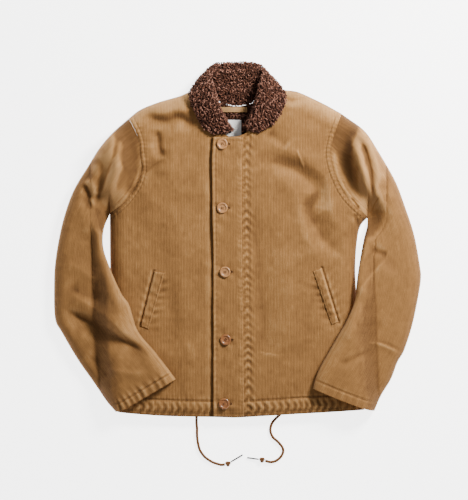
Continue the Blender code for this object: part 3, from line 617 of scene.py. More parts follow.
def frames_from(ways, ups):
    """Rotation matrices whose X runs along ways and whose Z is nearest to ups."""
    x = ways / np.linalg.norm(ways, axis=1, keepdims=True)
    z = ups - x * np.sum(ups * x, axis=1, keepdims=True)
    z /= np.linalg.norm(z, axis=1, keepdims=True)
    y = np.cross(z, x)
    return np.stack([x, y, z], axis=2)


def stitch_template():
    """One stitch of thread, round and slim, lying along X."""
    bm = bmesh.new()
    bmesh.ops.create_uvsphere(bm, u_segments=6, v_segments=4, radius=1.0)
    bmesh.ops.rotate(bm, verts=bm.verts[:], cent=(0, 0, 0), matrix=Matrix.Rotation(math.pi / 2, 3, "Y"))
    bmesh.ops.scale(bm, vec=STITCH_SIZE, verts=bm.verts[:])
    mesh = bpy.data.meshes.new("stitch")
    bm.to_mesh(mesh)
    bm.free()
    return mesh


def stitches(name, rows, finish):
    """Rows of sewing: each row is a line of (x, y, z) points that the stitches follow."""
    places, ways = [], []
    for row in rows:
        line = np.array(row, float)
        step = np.linalg.norm(np.diff(line, axis=0), axis=1)
        length = np.r_[0, np.cumsum(step)]
        at = np.arange(.5, length[-1] / STITCH_PITCH - .3) * STITCH_PITCH
        middle = np.stack([np.interp(at, length, line[:, k]) for k in range(3)], axis=1)
        ahead = np.stack([np.interp(at + 1.2, length, line[:, k]) for k in range(3)], axis=1)
        behind = np.stack([np.interp(at - 1.2, length, line[:, k]) for k in range(3)], axis=1)
        places.append(middle)
        ways.append(ahead - behind)
    places, ways = np.vstack(places), np.vstack(ways)
    ups = np.tile([0.0, 0.0, 1.0], (len(places), 1))
    tints = np.random.RandomState(5).uniform(0, 1, len(places))
    return copies(name, stitch_template(), places, frames_from(ways, ups), finish, tints)


def over(height, line, raised=.2):
    """A plan line lifted onto a height function."""
    line = np.array(line, float)
    return np.column_stack([line, height(line[:, 0], line[:, 1]) + raised])


def outer_edge(side, side_rows, armhole_rows):
    """Side seam and armhole of one side, hem to shoulder."""
    return np.vstack([evenly(SIDE[side], side_rows), evenly(ARMHOLE[side], armhole_rows)[1:]])


def ridge_wear_and_dimple_shade(height):
    """Wear and painted shade: above 0 on small ridges and crests, where washing has lightened the cloth, and below
    0 in dimples, which the finish darkens as painted shade.
    """
    return np.clip((height - blurred(height, 3)) / 0.6, -1.5, 1.5)


def front(side, finish):
    edge = outer_edge(side, SIDE_ROWS, ARMHOLE_ROWS)
    centre = evenly([HEM[side][-1], NECKLINE[side][0]], CENTRE_ROWS)
    centre[:, 0] += -SEAM_GAP / 2 if side == "right" else SEAM_GAP / 2
    centre = np.vstack([centre, evenly(NECKLINE[side], len(edge) - 1 - CENTRE_ROWS)[1:]])
    shares = np.linspace(0, 1, FRONT_SPANS + 1) ** 1.25
    hem, top = along(HEM[side], shares), along(SHOULDER[side], shares)
    hem[-1], top[-1] = centre[0], centre[-1]
    plan = patch(hem, top, edge, centre, shares)
    upper = with_height(plan, body_height(plan[..., 0], plan[..., 1]))
    lower = offset_inwards(upper, WALL, WALL + SEAM_GAP)
    piece = cloth("front_panel_" + side, upper, lower, finish, tone=ridge_wear_and_dimple_shade(upper[..., 2]))
    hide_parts("front_" + side)
    return piece


def back(finish):
    right, left = (outer_edge(side, SIDE_ROWS // BACK_SHARE, ARMHOLE_ROWS // BACK_SHARE)
                   for side in ("right", "left"))
    shares = np.linspace(0, 1, 61)
    hem = along(HEM["right"] + HEM["left"][-2::-1], shares)
    on_shoulder = shares[shares < NECK_FROM] / NECK_FROM
    on_neck = (shares[(shares >= NECK_FROM) & (shares <= 1 - NECK_FROM)] - NECK_FROM) / (1 - 2 * NECK_FROM)
    top = np.vstack([
        along(SHOULDER["right"], on_shoulder),
        along(BACK_NECK, on_neck),
        along(SHOULDER["left"], on_shoulder)[::-1],
    ])
    hem[0], hem[-1], top[0], top[-1] = right[0], left[0], right[-1], left[-1]
    plan = patch(hem, top, right, left, shares)
    flat = np.zeros(plan.shape[:2])
    piece = cloth("back_panel", with_height(plan, flat + WALL), with_height(plan, flat), finish)
    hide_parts("back")
    return piece


def away_from_body(points, side):
    """The armhole's points, one seam gap further out."""
    step = np.gradient(points, axis=0)
    out = np.stack([-step[:, 1], step[:, 0]], axis=1)
    out /= np.linalg.norm(out, axis=1, keepdims=True)
    towards = -1 if side == "right" else 1
    out *= np.sign(out[:, :1] * towards)
    return points + out * (SEAM_GAP + 0.05)


def sleeve_plan(side, layer):
    """Sleeve seen from above: rows from armhole to cuff, columns from outer to inner edge."""
    armhole_rows, underarm_rows, rows = SLEEVE_GRIDS[layer]
    armhole = away_from_body(evenly(ARMHOLE[side], armhole_rows), side)
    start = armhole[underarm_rows:][::-1]
    inner_line = evenly(SLEEVE_INNER[side], rows - underarm_rows)
    inner_line[0] = armhole[0]
    inner = np.vstack([armhole[1:underarm_rows + 1][::-1], inner_line])
    outer = along(SLEEVE_OUTER[side], np.linspace(0, 1, rows + 1) ** SLEEVE_FAN)
    outer[0] = start[0]
    known = np.arange(len(SLEEVE_COLUMNS))
    shares = np.interp(np.linspace(0, known[-1], len(start)), known, SLEEVE_COLUMNS)
    cuff = along(CUFF[side], shares)
    cuff[0], cuff[-1] = outer[-1], inner[-1]
    fades = OUTER_FADE + INNER_FADE * shares[None, :, None] ** 4
    return patch(start, cuff, outer, inner, shares, fades)


def sleeve_sewing(side, x, y):
    """Relief of the turned cuff, and of the cloth gathered at the armhole seam."""
    away, share, _ = line_distance(x, y, CUFF[side])
    length = line_length(CUFF[side])
    deep = CUFF_STITCH[side]
    height = groove(away - deep, 1.7, 1.1) + .6 * smooth((deep - away) / 3)
    rise, pitch = (1.5, 15) if side == "right" else (.5, 19)
    height += puckers(np.abs(away - .6 * deep), share, length, pitch, deep, rise, .1, 81)
    away, share, _ = line_distance(x, y, ARMHOLE[side])
    length = line_length(ARMHOLE[side])
    height += groove(away, 2.4, 1.6) + puckers(away, share, length, 12, 11, .55, .3, 85)
    return height


def sleeve(side, finish):
    """Upper and under sleeve: the under one lies on the surface and over the body's edge."""
    pieces = {}
    for layer in ("top", "under"):
        plan = sleeve_plan(side, layer)
        x, y = plan[..., 0], plan[..., 1]
        from_armhole, _, _ = line_distance(x, y, ARMHOLE[side])
        base = draped_over_body(x, y)
        base = np.where(base > 0.5, base + REST_GAP, 0) * smooth((from_armhole - 12) / 50)
        under_top = base + WALL
        name = "sleeve_{}_panel_{}".format(layer, side)
        step = np.linalg.norm(np.diff(plan, axis=0, prepend=plan[:1]), axis=2)
        down = np.cumsum(step.mean(axis=1))[:, None] + 0 * x
        from_outer = np.linalg.norm(plan - plan[:, :1], axis=2)
        weave = np.dstack([from_outer, down, np.full(x.shape, .35)])
        if layer == "under":
            upper, lower, tone = with_height(plan, under_top), with_height(plan, base), None
        else:
            from_inner = np.linalg.norm(plan - plan[:, -1:], axis=2)
            t = np.linspace(0, 1, len(plan))[:, None]
            full = np.interp(t, SLEEVE_T, SLEEVE_Z) + fold_height(side, x, y) - SEAM_HEIGHT
            full = full + uneven_height(x, y, 23 if side == "right" else 33) + sleeve_sewing(side, x, y)
            full = full * rounded(from_outer / SLEEVE_ROUND) * rounded(from_inner / SLEEVE_ROUND)
            own = base + SEAM_HEIGHT + full
            blend = smooth(from_armhole / ARMHOLE_BLEND)
            height = body_height(x, y) * (1 - blend) + own * blend
            height = np.maximum(height, base + SEAM_HEIGHT)
            upper = with_height(plan, height)
            lower = offset_inwards(upper, WALL, 0)
            lower[..., 2] = np.maximum(lower[..., 2], under_top + SEAM_GAP)
            tone = ridge_wear_and_dimple_shade(height)
        piece = cloth(name, upper, lower, finish, weave, tone)
        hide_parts("sleeve_{}_{}".format(layer, side))
        pieces[layer] = (piece, upper)
    return pieces["top"][1]


def flap_grid():
    y = np.linspace(FLAP_Y[0], FLAP_Y[-1], FLAP_ROWS + 1)
    left, right = np.interp(y, FLAP_Y, FLAP_LEFT_X), np.interp(y, FLAP_Y, FLAP_RIGHT_X)
    left = left + .5 * soft_noise(y, 0 * y, 60, 91)
    across = np.linspace(0, 1, FLAP_SPANS + 1)
    x = left[:, None] + (right - left)[:, None] * across
    return x, np.repeat(y[:, None], FLAP_SPANS + 1, axis=1)


def flap_height(x, y):
    """Outer surface of the wind flap: lifted along its free edge and puckered along its sewing."""
    from_left = x - np.interp(y, FLAP_Y, FLAP_LEFT_X)
    from_right = np.interp(y, FLAP_Y, FLAP_RIGHT_X) - x
    height = body_top(x, y) + SEWN_GAP + FLAP_WALL
    height += .8 * uneven_height(x, y, 97) + 2.2 * np.exp(-((from_left / 9) ** 2))
    edge = np.minimum(from_left, from_right)
    ends = np.minimum(y - FLAP_Y[0], FLAP_Y[-1] - y)
    height -= 1.5 * (1 - rounded(np.minimum(edge, ends) / 3.2))
    height += groove(from_left - 8, 1.5, .8) + groove(from_right - 3.5, 1.3, .7) + groove(ends - 7, 1.4, .7)
    height += puckers(np.abs(from_left - 6), (y + 372) / 600, 600, 13, 7, .32, .5, 101)
    height += puckers(np.abs(from_right - 4), (y + 372) / 600, 600, 11, 7, .32, -.6, 103)
    height += puckers(np.abs(from_right - 10), (y + 372) / 600, 600, 37, 16, .7, .8, 105)
    height += puckers(np.abs(from_left - 12), (y + 372) / 600, 600, 41, 13, .6, .4, 109)
    for k, (bx, by) in enumerate(BUTTON_PLACES):
        away = np.hypot(x - bx, y - by)
        height -= 1.3 * np.exp(-((away / 13) ** 2))
        turn = np.arctan2(y - by, x - bx)
        rays = np.cos(5 * turn + 2 * k) * np.exp(-(((away - 17) / 9) ** 2))
        height += .55 * rays
        height += groove(np.hypot((x - bx - 13) / 3.0, (y - by) / 1.2), 1, 1.2)
    return height


def wind_flap(finish):
    x, y = flap_grid()
    plan = np.dstack([x, y])
    upper = with_height(plan, flap_height(x, y))
    under = np.minimum(body_height(x, y) + SEWN_GAP + 2.2 * np.exp(-(((x - x[:, :1]) / 9) ** 2)),
                       upper[..., 2] - .8)
    piece = cloth("wind_flap_strip", upper, with_height(plan, under), finish, tone=ridge_wear_and_dimple_shade(upper[..., 2]))
    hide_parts("wind_flap")
    return piece


def pocket_welt(side, finish):
    inner_top, outer_top, outer_low, inner_low = (np.array(corner, float) for corner in WELTS[side])
    down = np.linspace(0, 1, 90)[:, None, None]
    over_share = np.linspace(0, 1, 19)[None, :, None]
    top_edge = inner_top + over_share * (outer_top - inner_top)
    low_edge = inner_low + over_share * (outer_low - inner_low)
    plan = top_edge + down * (low_edge - top_edge)
    x, y = plan[..., 0], plan[..., 1]
    under = body_height(x, y) + .15
    rim = np.minimum(np.minimum(over_share[..., 0] * 22, (1 - over_share[..., 0]) * 22), 4)
    ends = np.minimum(down[..., 0], 1 - down[..., 0]) * 118
    edge = np.minimum(rim, ends)
    height = under + 1.0 + (WELT_WALL - 1.0) * rounded(edge / 3) + groove(over_share[..., 0] * 22 - 4, 1.4, .7)
    share = down[..., 0] + 0 * x
    height += puckers(np.abs(22 * over_share[..., 0] - 12) + 0 * x, share, 118, 21, 14, .8, .5, 121)
    upper = with_height(plan, height)
    # The welt's tone, wear and painted shade, is raised by .15, so the strip is lighter all over than the fronts
    piece = cloth("pocket_strip_" + side, upper, with_height(plan, under - .4), finish,
                  tone=ridge_wear_and_dimple_shade(height) + .15)
    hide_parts("pocket_welt_" + side)
    return piece


def collar_surface():
    """Outer face of the collar: rings from one front end round to the other, neck seam to outer edge."""
    stations = np.array(COLLAR, float)
    line = smooth_line(stations, COLLAR_RINGS_PER_STATION)
    sections = []
    for row in line:
        seam, roll, edge = row[0:2], row[2:4], row[4:6]
        roll_z, laid = row[6], np.clip(row[7], 0, 1)
        rest = draped_over_body(np.array([edge[0]]), np.array([edge[1]]))[0]
        edge_high = max(rest, SEAM_HEIGHT) + REST_GAP + COLLAR_EDGE_THICK
        points = [(*seam, COLLAR_FOOT)]
        for out, up in zip(ROLL_OUT, ROLL_UP):
            foot = COLLAR_FOOT if out == 0 else edge_high - 9
            points.append((*(roll + out * (edge - roll)), foot + up * (roll_z - foot)))
        places = seam + np.array(LAID_OUT)[:, None] * (roll - seam)
        flat = np.column_stack([places, LAID_Z])
        section = (1 - laid) * np.array(points) + laid * flat
        sections.append(evenly(section, COLLAR_SECTION))
    return np.array(sections)


def square_out(points):
    """Unit normals of a grid of points, all on the side that faces up where the grid is level."""
    across, ahead = np.gradient(points, axis=1), np.gradient(points, axis=0)
    normal = np.cross(across, ahead)
    normal /= np.maximum(np.linalg.norm(normal, axis=2, keepdims=True), 1e-9)
    return normal * np.sign(normal[..., 2].sum())


def curl_template():
    """One curl of pile: a short thick arc that stands on the cloth."""
    bm = bmesh.new()
    made = bmesh.ops.create_circle(bm, cap_ends=False, segments=4, radius=CURL_THICK)
    bmesh.ops.translate(bm, verts=made["verts"], vec=(CURL_BEND, 0, 0))
    bmesh.ops.spin(bm, geom=bm.edges[:], cent=(0, 0, 0), axis=(0, 1, 0), angle=math.radians(-185), steps=5)
    bmesh.ops.remove_doubles(bm, verts=bm.verts[:], dist=1e-4)
    bmesh.ops.holes_fill(bm, edges=bm.edges[:], sides=4)
    bmesh.ops.recalc_face_normals(bm, faces=bm.faces[:])
    mesh = bpy.data.meshes.new("curl")
    bm.to_mesh(mesh)
    bm.free()
    return mesh


def pile(name, surface, normal, finish, keep=None, seed=7):
    """Curls strewn evenly over a grid of points, each turned and tipped its own way."""
    rng = np.random.RandomState(seed)
    across = surface[:-1, 1:] - surface[:-1, :-1]
    ahead = surface[1:, :-1] - surface[:-1, :-1]
    area = np.linalg.norm(np.cross(across, ahead), axis=2)
    expected = area / CURL_SPACING**2 * rng.uniform(.75, 1.25, area.shape)
    total = np.cumsum(expected.ravel())
    picked = np.flatnonzero(np.diff(np.floor(total), prepend=0) > 0)
    row, column = np.unravel_index(picked, area.shape)
    s, t = rng.uniform(0, 1, (2, len(picked), 1))
    places = surface[row, column] + s * across[row, column] + t * ahead[row, column]
    ups = normal[row, column]
    if keep is not None:
        kept = keep(places)
        places, ups = places[kept], ups[kept]
    n = len(places)
    tipped = ups + rng.normal(0, .45, (n, 3))
    tipped /= np.linalg.norm(tipped, axis=1, keepdims=True)
    ways = np.cross(tipped, rng.normal(0, 1, (n, 3)))
    turns = frames_from(ways, tipped) * rng.uniform(.75, 1.3, (n, 1, 1))
    places = places + ups * rng.uniform(-.6, .5, (n, 1))
    piece = copies(name, curl_template(), places, turns, finish, rng.uniform(0, 1, n))
    return piece


def collar(finish):
    surface = collar_surface()
    normal = square_out(surface)
    x, y = surface[..., 0], surface[..., 1]
    lumps = 1.1 * soft_noise(x + surface[..., 2], y, 9, 131) + .8 * soft_noise(x, y + surface[..., 2], 4.5, 133)
    upper = surface + normal * lumps[..., None]
    lower = surface - normal * COLLAR_SHELL
    lower[..., 2] = np.maximum(lower[..., 2], 0.2)
    upper[..., 2] = np.maximum(upper[..., 2], lower[..., 2] + .5)
    # The shell takes the pile's darkest colours: painted shade between the curls
    shell = cloth("collar_leaf", upper, lower, finish)
    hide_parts("collar")
    curls = pile("collar_curls", surface, normal, finish, keep=lambda p: p[:, 2] > 3.5)
    return shell


def under_tape(p):
    """Whether a place on the lining is clear of the label and of the hanger loop's sewn ends."""
    on_label = (p[:, 0] > LABEL_X[0] - 2) & (p[:, 0] < LABEL_X[1] + 2) & (p[:, 1] > LABEL_Y[0] - 3)
    on_label &= p[:, 1] < LABEL_Y[1] + 1.5
    on_loop = (p[:, 0] > LOOP_X[0] - 2) & (p[:, 0] < LOOP_X[1] + 2) & (p[:, 1] > LOOP_Y[0] - 1.5)
    on_loop &= p[:, 1] < LOOP_Y[1] + 1.5
    return ~(on_label | on_loop) & (p[:, 1] > 205)


def neck_lining(finish):
    columns = np.linspace(0, 1, 50)
    top = along(LINING_TOP, columns)
    low = evenly([LINING_SIDES["right"][0], LINING_SIDES["left"][0]], len(columns) - 1)
    right, left = evenly(LINING_SIDES["right"], 60), evenly(LINING_SIDES["left"], 60)
    plan = patch(low, top, right, left, columns)
    flat = np.full(plan.shape[:2], WALL + SEAM_GAP)
    lumps = .5 * soft_noise(plan[..., 0], plan[..., 1], 7, 141)
    surface = with_height(plan, flat + LINING_THICK - .5 + lumps)
    # The shell takes the pile's darkest colours: painted shade between the curls
    piece = cloth("lining_pile", surface, with_height(plan, flat), finish)
    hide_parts("neck_lining")
    curls = pile("lining_curls", surface, square_out(surface), finish, keep=under_tape, seed=11)
    return piece


def flat_strip(name, node, x_range, y_range, arch, thick, spans, relief, finish):
    """A thin rectangle of tape or label on the lining, arched up by so much in the middle."""
    x = np.linspace(*x_range, spans[0] + 1)
    y = np.linspace(*y_range, spans[1] + 1)
    plan = np.dstack(np.meshgrid(x, y))
    share = np.linspace(0, 1, spans[0] + 1)[None, :]
    under = WALL + LINING_THICK + 2 * SEAM_GAP + arch * np.sin(math.pi * share) + 0 * plan[..., 0]
    bumps = relief(plan[..., 0], plan[..., 1])
    upper, lower = with_height(plan, under + thick + bumps), with_height(plan, under + np.minimum(bumps, 0))
    piece = cloth(name, upper, lower, finish)
    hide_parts(node)
    return piece


def loop_relief(x, y):
    """A folded tape: thin edges, two rows of sewing and the sewn square at its left end."""
    from_edge = np.minimum(y - LOOP_Y[0], LOOP_Y[1] - y)
    end = LOOP_X[1] - x
    relief = groove(from_edge - 2, .7, .35) - .5 * (1 - rounded(from_edge / 1.3))
    return relief + groove(end - 11, .8, .6) + groove(end - 2, .8, .4)


def label_relief(x, y):
    """A woven label lifts a little at its free lower edge and rolls along its length."""
    share = (y - LABEL_Y[0]) / (LABEL_Y[1] - LABEL_Y[0])
    side = (x - LABEL_X[0]) / (LABEL_X[1] - LABEL_X[0])
    return 2.2 * (1 - share) ** 2 + .7 * np.sin(math.pi * side) + .3 * soft_noise(x, y, 14, 151)


def button_mesh():
    """A rimmed disc, turned, with a dished middle and four holes for the thread."""
    r, h = BUTTON_RADIUS, BUTTON_THICK
    profile = [(0, .55 * h), (.40 * r, .55 * h), (.56 * r, .60 * h), (.64 * r, .72 * h), (.69 * r, .93 * h),
               (.76 * r, 1.0 * h), (.88 * r, .99 * h), (.96 * r, .88 * h), (r, .68 * h), (.99 * r, .45 * h),
               (.90 * r, .12 * h), (.80 * r, 0), (0, 0)]
    bm = bmesh.new()
    verts = [bm.verts.new((x * MM, 0, z * MM)) for x, z in profile]
    edges = [bm.edges.new(pair) for pair in zip(verts, verts[1:])]
    bmesh.ops.spin(bm, geom=verts + edges, cent=(0, 0, 0), axis=(0, 0, 1), angle=2 * math.pi,
                   steps=48, use_merge=True)
    bmesh.ops.remove_doubles(bm, verts=bm.verts[:], dist=1e-5)
    bmesh.ops.recalc_face_normals(bm, faces=bm.faces[:])
    disc = bpy.data.meshes.new("button_disc")
    bm.to_mesh(disc)
    bm.free()
    bm = bmesh.new()
    for quarter in range(4):
        turn = math.radians(45 + 90 * quarter)
        made = bmesh.ops.create_cone(bm, cap_ends=True, segments=16, radius1=BUTTON_HOLE_RADIUS * MM,
                                     radius2=BUTTON_HOLE_RADIUS * MM, depth=4 * BUTTON_THICK * MM)
        out = BUTTON_HOLE_OUT * MM
        bmesh.ops.translate(bm, verts=made["verts"], vec=(out * math.cos(turn), out * math.sin(turn), 0))
    pins = bpy.data.meshes.new("button_pins")
    bm.to_mesh(pins)
    bm.free()
    blank, cutter = bpy.data.objects.new("blank", disc), bpy.data.objects.new("pins", pins)
    for item in (blank, cutter):
        bpy.context.scene.collection.objects.link(item)
    cut = blank.modifiers.new("holes", "BOOLEAN")
    cut.operation, cut.solver, cut.object = "DIFFERENCE", "EXACT", cutter
    bpy.context.view_layer.update()
    mesh = bpy.data.meshes.new_from_object(blank.evaluated_get(bpy.context.evaluated_depsgraph_get()))
    for item in (blank, cutter):
        bpy.data.objects.remove(item)
    return mesh


def buttons(finishes, thread):
    mesh = button_mesh()
    places, turns = [], []
    for number, (x, y) in enumerate(BUTTON_PLACES, 1):
        low = body_top(np.array([x]), np.array([y]))[0] + SEWN_GAP + FLAP_WALL + .5
        turn = math.radians(BUTTON_TURNS[number - 1])
        own = mesh.copy()
        own.transform(Matrix.Translation(Vector((x, y, low)) * MM) @ Matrix.Rotation(turn, 4, "Z"))
        own.materials.clear()
        own.shade_smooth()
        own.set_sharp_from_angle(angle=math.radians(40))
        piece = finished("coat_button_{}".format(number), own, finishes[number - 1])
        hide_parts("button_{}".format(number))
        reach = BUTTON_HOLE_OUT * math.sin(math.radians(45))
        for side in (-1, 1):
            spot = Matrix.Rotation(turn, 3, "Z") @ Vector((side * reach, 0, 0))
            places.append((x + spot.x, y + spot.y, low + .60 * BUTTON_THICK))
            turns.append(np.array(Matrix.Rotation(turn + math.pi / 2, 3, "Z")) @ np.diag((2.1, 1.5, 1.4)))
    piece = copies("button_thread", stitch_template(), np.array(places), np.array(turns), thread)


def buttonholes(finish):
    """The worked end of each buttonhole, which shows beside its button."""
    places, ways, ups = [], [], []
    for x, y in BUTTON_PLACES:
        for k in range(13):
            turn = math.radians(-110 + 220 * k / 12)
            spot = (x + 13.2 + 2.6 * math.cos(turn), y + 2.0 * math.sin(turn))
            places.append((*spot, flap_height(np.array([spot[0]]), np.array([spot[1]]))[0] + .25))
            ways.append((math.cos(turn), math.sin(turn), 0))
            ups.append((0, 0, 1))
    piece = copies("buttonhole_thread", stitch_template(), np.array(places),
                   frames_from(np.array(ways), np.array(ups)), finish, np.full(len(places), .2))


def tube(name, line, radius, finish, around=20, closed=False, braid=0.0, spacing=.7):
    """A round tube along a line, with the relief of a braid, and filled at its ends."""
    line = np.array(line, float)
    step = np.linalg.norm(np.diff(line, axis=0), axis=1)
    length = np.r_[0, np.cumsum(step)]
    rows = max(8, round(length[-1] / spacing))
    at = np.linspace(0, length[-1], rows + 1)
    middle = np.stack([np.interp(at, length, line[:, k]) for k in range(3)], axis=1)
    way = np.gradient(middle, axis=0)
    way[0], way[-1] = (way[1], way[-2]) if not closed else (way[0] + way[-1],) * 2
    way /= np.linalg.norm(way, axis=1, keepdims=True)
    side = np.cross(way, (0, 0, 1.0))
    side /= np.linalg.norm(side, axis=1, keepdims=True)
    up = np.cross(side, way)
    turn = np.linspace(0, 2 * math.pi, around + 1)
    s = at[:, None]
    strands = np.maximum(np.sin(4 * turn - s * 1.5), np.sin(-4 * turn - s * 1.5 + 1.2))
    own = radius(s / length[-1]) * (1 + braid * (strands - 1)) + 0 * turn
    points = middle[:, None] + own[..., None] * (np.cos(turn)[None, :, None] * side[:, None]
                                                 + np.sin(turn)[None, :, None] * up[:, None])
    bm = bmesh.new()
    bmesh.ops.create_grid(bm, x_segments=around, y_segments=rows, size=1.0)
    # tone holds how far each strand stands out; the cord's finish turns it into painted shade where strands meet
    depth = bm.verts.layers.float.new("tone")
    for vert in bm.verts:
        column = round((vert.co.x + 1) / 2 * around)
        row = round((vert.co.y + 1) / 2 * rows)
        vert[depth] = strands[row, column]
        vert.co = points[row, column] * MM
    bmesh.ops.remove_doubles(bm, verts=bm.verts[:], dist=1e-6)
    bmesh.ops.holes_fill(bm, edges=bm.edges[:], sides=around)
    bmesh.ops.recalc_face_normals(bm, faces=bm.faces[:])
    mesh = bpy.data.meshes.new(name)
    bm.to_mesh(mesh)
    bm.free()
    mesh.shade_smooth()
    mesh.set_sharp_from_angle(angle=math.radians(60))
    return finished(name, mesh, finish)


def drawstring(side, cord_finish, tip_finish):
    route = smooth_line(CORD_ROUTE[side])
    rope = tube("cord_" + side, route, lambda share: CORD_RADIUS + 0 * share, cord_finish, around=24, braid=.10)
    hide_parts("drawstring_" + side)
    t = np.linspace(0, 2 * math.pi, 97) + (.4 if side == "right" else 1.6)
    scale = 1.22
    loops = np.column_stack([scale * (np.sin(t) + 2 * np.sin(2 * t)), scale * (np.cos(t) - 2 * np.cos(2 * t)),
                             -1.5 * np.sin(3 * t)])
    loops += (*KNOT_PLACE[side], KNOT_RADII[2] - .3)
    knot = tube("cord_knot_" + side, loops, lambda share: 2.75 + 0 * share, cord_finish, around=18, closed=True,
                braid=.10)
    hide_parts("knot_" + side)
    start, end = (np.array(p, float) for p in TIP_ENDS[side])
    tip_line = [(*start, 4.6), (*end, TIP_RADIUS + .2)]
    tip = tube("cord_tip_" + side, tip_line, lambda share: TIP_RADIUS * (.55 + .45 * rounded((1 - share) * 12))
               * (1 - .12 * (share < .12)), tip_finish, around=20)
    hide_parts("aglet_" + side)


def add(tree, kind, inputs=None, **settings):
    """A node with its settings; an input is a value, or another node's output to link."""
    node = tree.nodes.new(kind)
    for key, value in settings.items():
        setattr(node, key, value)
    for key, value in (inputs or {}).items():
        if isinstance(value, bpy.types.NodeSocket):
            tree.links.new(value, node.inputs[key])
        else:
            node.inputs[key].default_value = value
    return node


def new_finish(name, **shader):
    finish = bpy.data.materials.new(name)
    finish.use_nodes = True
    for key, value in shader.items():
        finish.node_tree.nodes["Principled BSDF"].inputs[key.replace("_", " ")].default_value = value
    return finish


def ramp(tree, value, stops):
    node = add(tree, "ShaderNodeValToRGB", {"Fac": value})
    while len(node.color_ramp.elements) < len(stops):
        node.color_ramp.elements.new(0.5)
    for element, (place, colour) in zip(node.color_ramp.elements, stops):
        element.position = place
        element.color = linear(colour)
    return node.outputs["Color"]


def corded_cotton():
    """Jungle cloth: cotton woven with fine lengthwise cords, garment-dyed tan and washed.

    The eye sees faint vertical cords, a matt surface with a little nap, and seams faded light on their
    ridges by wear; their dimples are darkened as painted shade. Its cords are 1.6 mm apart; they are drawn
    twice as coarse to show.
    """
    finish = new_finish("corded_cotton", Roughness=.9, Specular_IOR_Level=.12, Sheen_Weight=.04, Sheen_Roughness=.4)
    tree = finish.node_tree
    shader = tree.nodes["Principled BSDF"]
    weave = add(tree, "ShaderNodeAttribute", attribute_name="weave").outputs["Vector"]
    tone = add(tree, "ShaderNodeAttribute", attribute_name="tone").outputs["Fac"]
    axes = add(tree, "ShaderNodeSeparateXYZ", {"Vector": weave})
    broad = add(tree, "ShaderNodeTexNoise", {"Vector": weave, "Scale": .012, "Detail": 3.0})
    middle = add(tree, "ShaderNodeTexNoise", {"Vector": weave, "Scale": .06, "Detail": 4.0, "Roughness": .65})
    long_ways = add(tree, "ShaderNodeVectorMath", {0: weave, 1: (.42, .028, 0)}, operation="MULTIPLY")
    slub = add(tree, "ShaderNodeTexNoise", {"Vector": long_ways.outputs[0], "Scale": 1.0, "Detail": 4.0,
                                            "Roughness": .7})
    grain = add(tree, "ShaderNodeTexNoise", {"Vector": weave, "Scale": .55, "Detail": 3.0, "Roughness": .7})
    drift = add(tree, "ShaderNodeMath", {0: middle.outputs["Fac"], 1: 5.0}, operation="MULTIPLY")
    phase = add(tree, "ShaderNodeMath", {0: axes.outputs["X"], 1: 2 * math.pi / 3.2, 2: drift.outputs[0]},
                operation="MULTIPLY_ADD")
    cord = add(tree, "ShaderNodeMath", {0: phase.outputs[0]}, operation="SINE")
    cords = add(tree, "ShaderNodeMath", {0: cord.outputs[0], 1: axes.outputs["Z"]}, operation="MULTIPLY")
    value = 0.02
    # tone: lighter on worn ridges, with painted shade darkening the dimples
    for source, share in ((tone, .16), (cords.outputs[0], .07), (broad.outputs["Fac"], .12),
                          (middle.outputs["Fac"], .14), (slub.outputs["Fac"], .42), (grain.outputs["Fac"], .28)):
        value = add(tree, "ShaderNodeMath", {0: source, 1: share, 2: value}, operation="MULTIPLY_ADD").outputs[0]
    colour = ramp(tree, value, ((.05, "#3A2412"), (.38, "#75522E"), (.58, "#8C6439"), (.95, "#B78E5D")))
    tree.links.new(colour, shader.inputs["Base Color"])
    relief = add(tree, "ShaderNodeMath", {0: cords.outputs[0], 1: .5, 2: grain.outputs["Fac"]},
                 operation="MULTIPLY_ADD")
    bump = add(tree, "ShaderNodeBump", {"Height": relief.outputs[0], "Strength": .5, "Distance": .0006})
    tree.links.new(bump.outputs["Normal"], shader.inputs["Normal"])
    return finish


def curly_pile():
    """Wool-like knitted pile in tight curls: matt and lit on their backs, with painted shade between the curls,
    where the shells under them take the darkest colours.
    """
    finish = new_finish("curly_pile", Roughness=.95, Specular_IOR_Level=.1, Sheen_Weight=.03, Sheen_Roughness=.5)
    tree = finish.node_tree
    shader = tree.nodes["Principled BSDF"]
    tint = add(tree, "ShaderNodeAttribute", attribute_name="tint").outputs["Fac"]
    places = add(tree, "ShaderNodeTexCoord").outputs["Object"]
    fine = add(tree, "ShaderNodeTexNoise", {"Vector": places, "Scale": 420.0, "Detail": 4.0, "Roughness": .7})
    # Where tint is missing, on the shells under the curls, it reads 0: their darkest colours are painted shade
    # between the curls
    value = add(tree, "ShaderNodeMath", {0: fine.outputs["Fac"], 1: .45, 2: tint}, operation="MULTIPLY_ADD")
    colour = ramp(tree, value.outputs[0], ((.05, "#1E100B"), (.5, "#4A2D21"), (.9, "#633F30"), (1.0, "#80594A")))
    tree.links.new(colour, shader.inputs["Base Color"])
    bump = add(tree, "ShaderNodeBump", {"Height": fine.outputs["Fac"], "Strength": .8, "Distance": .0012})
    tree.links.new(bump.outputs["Normal"], shader.inputs["Normal"])
    return finish


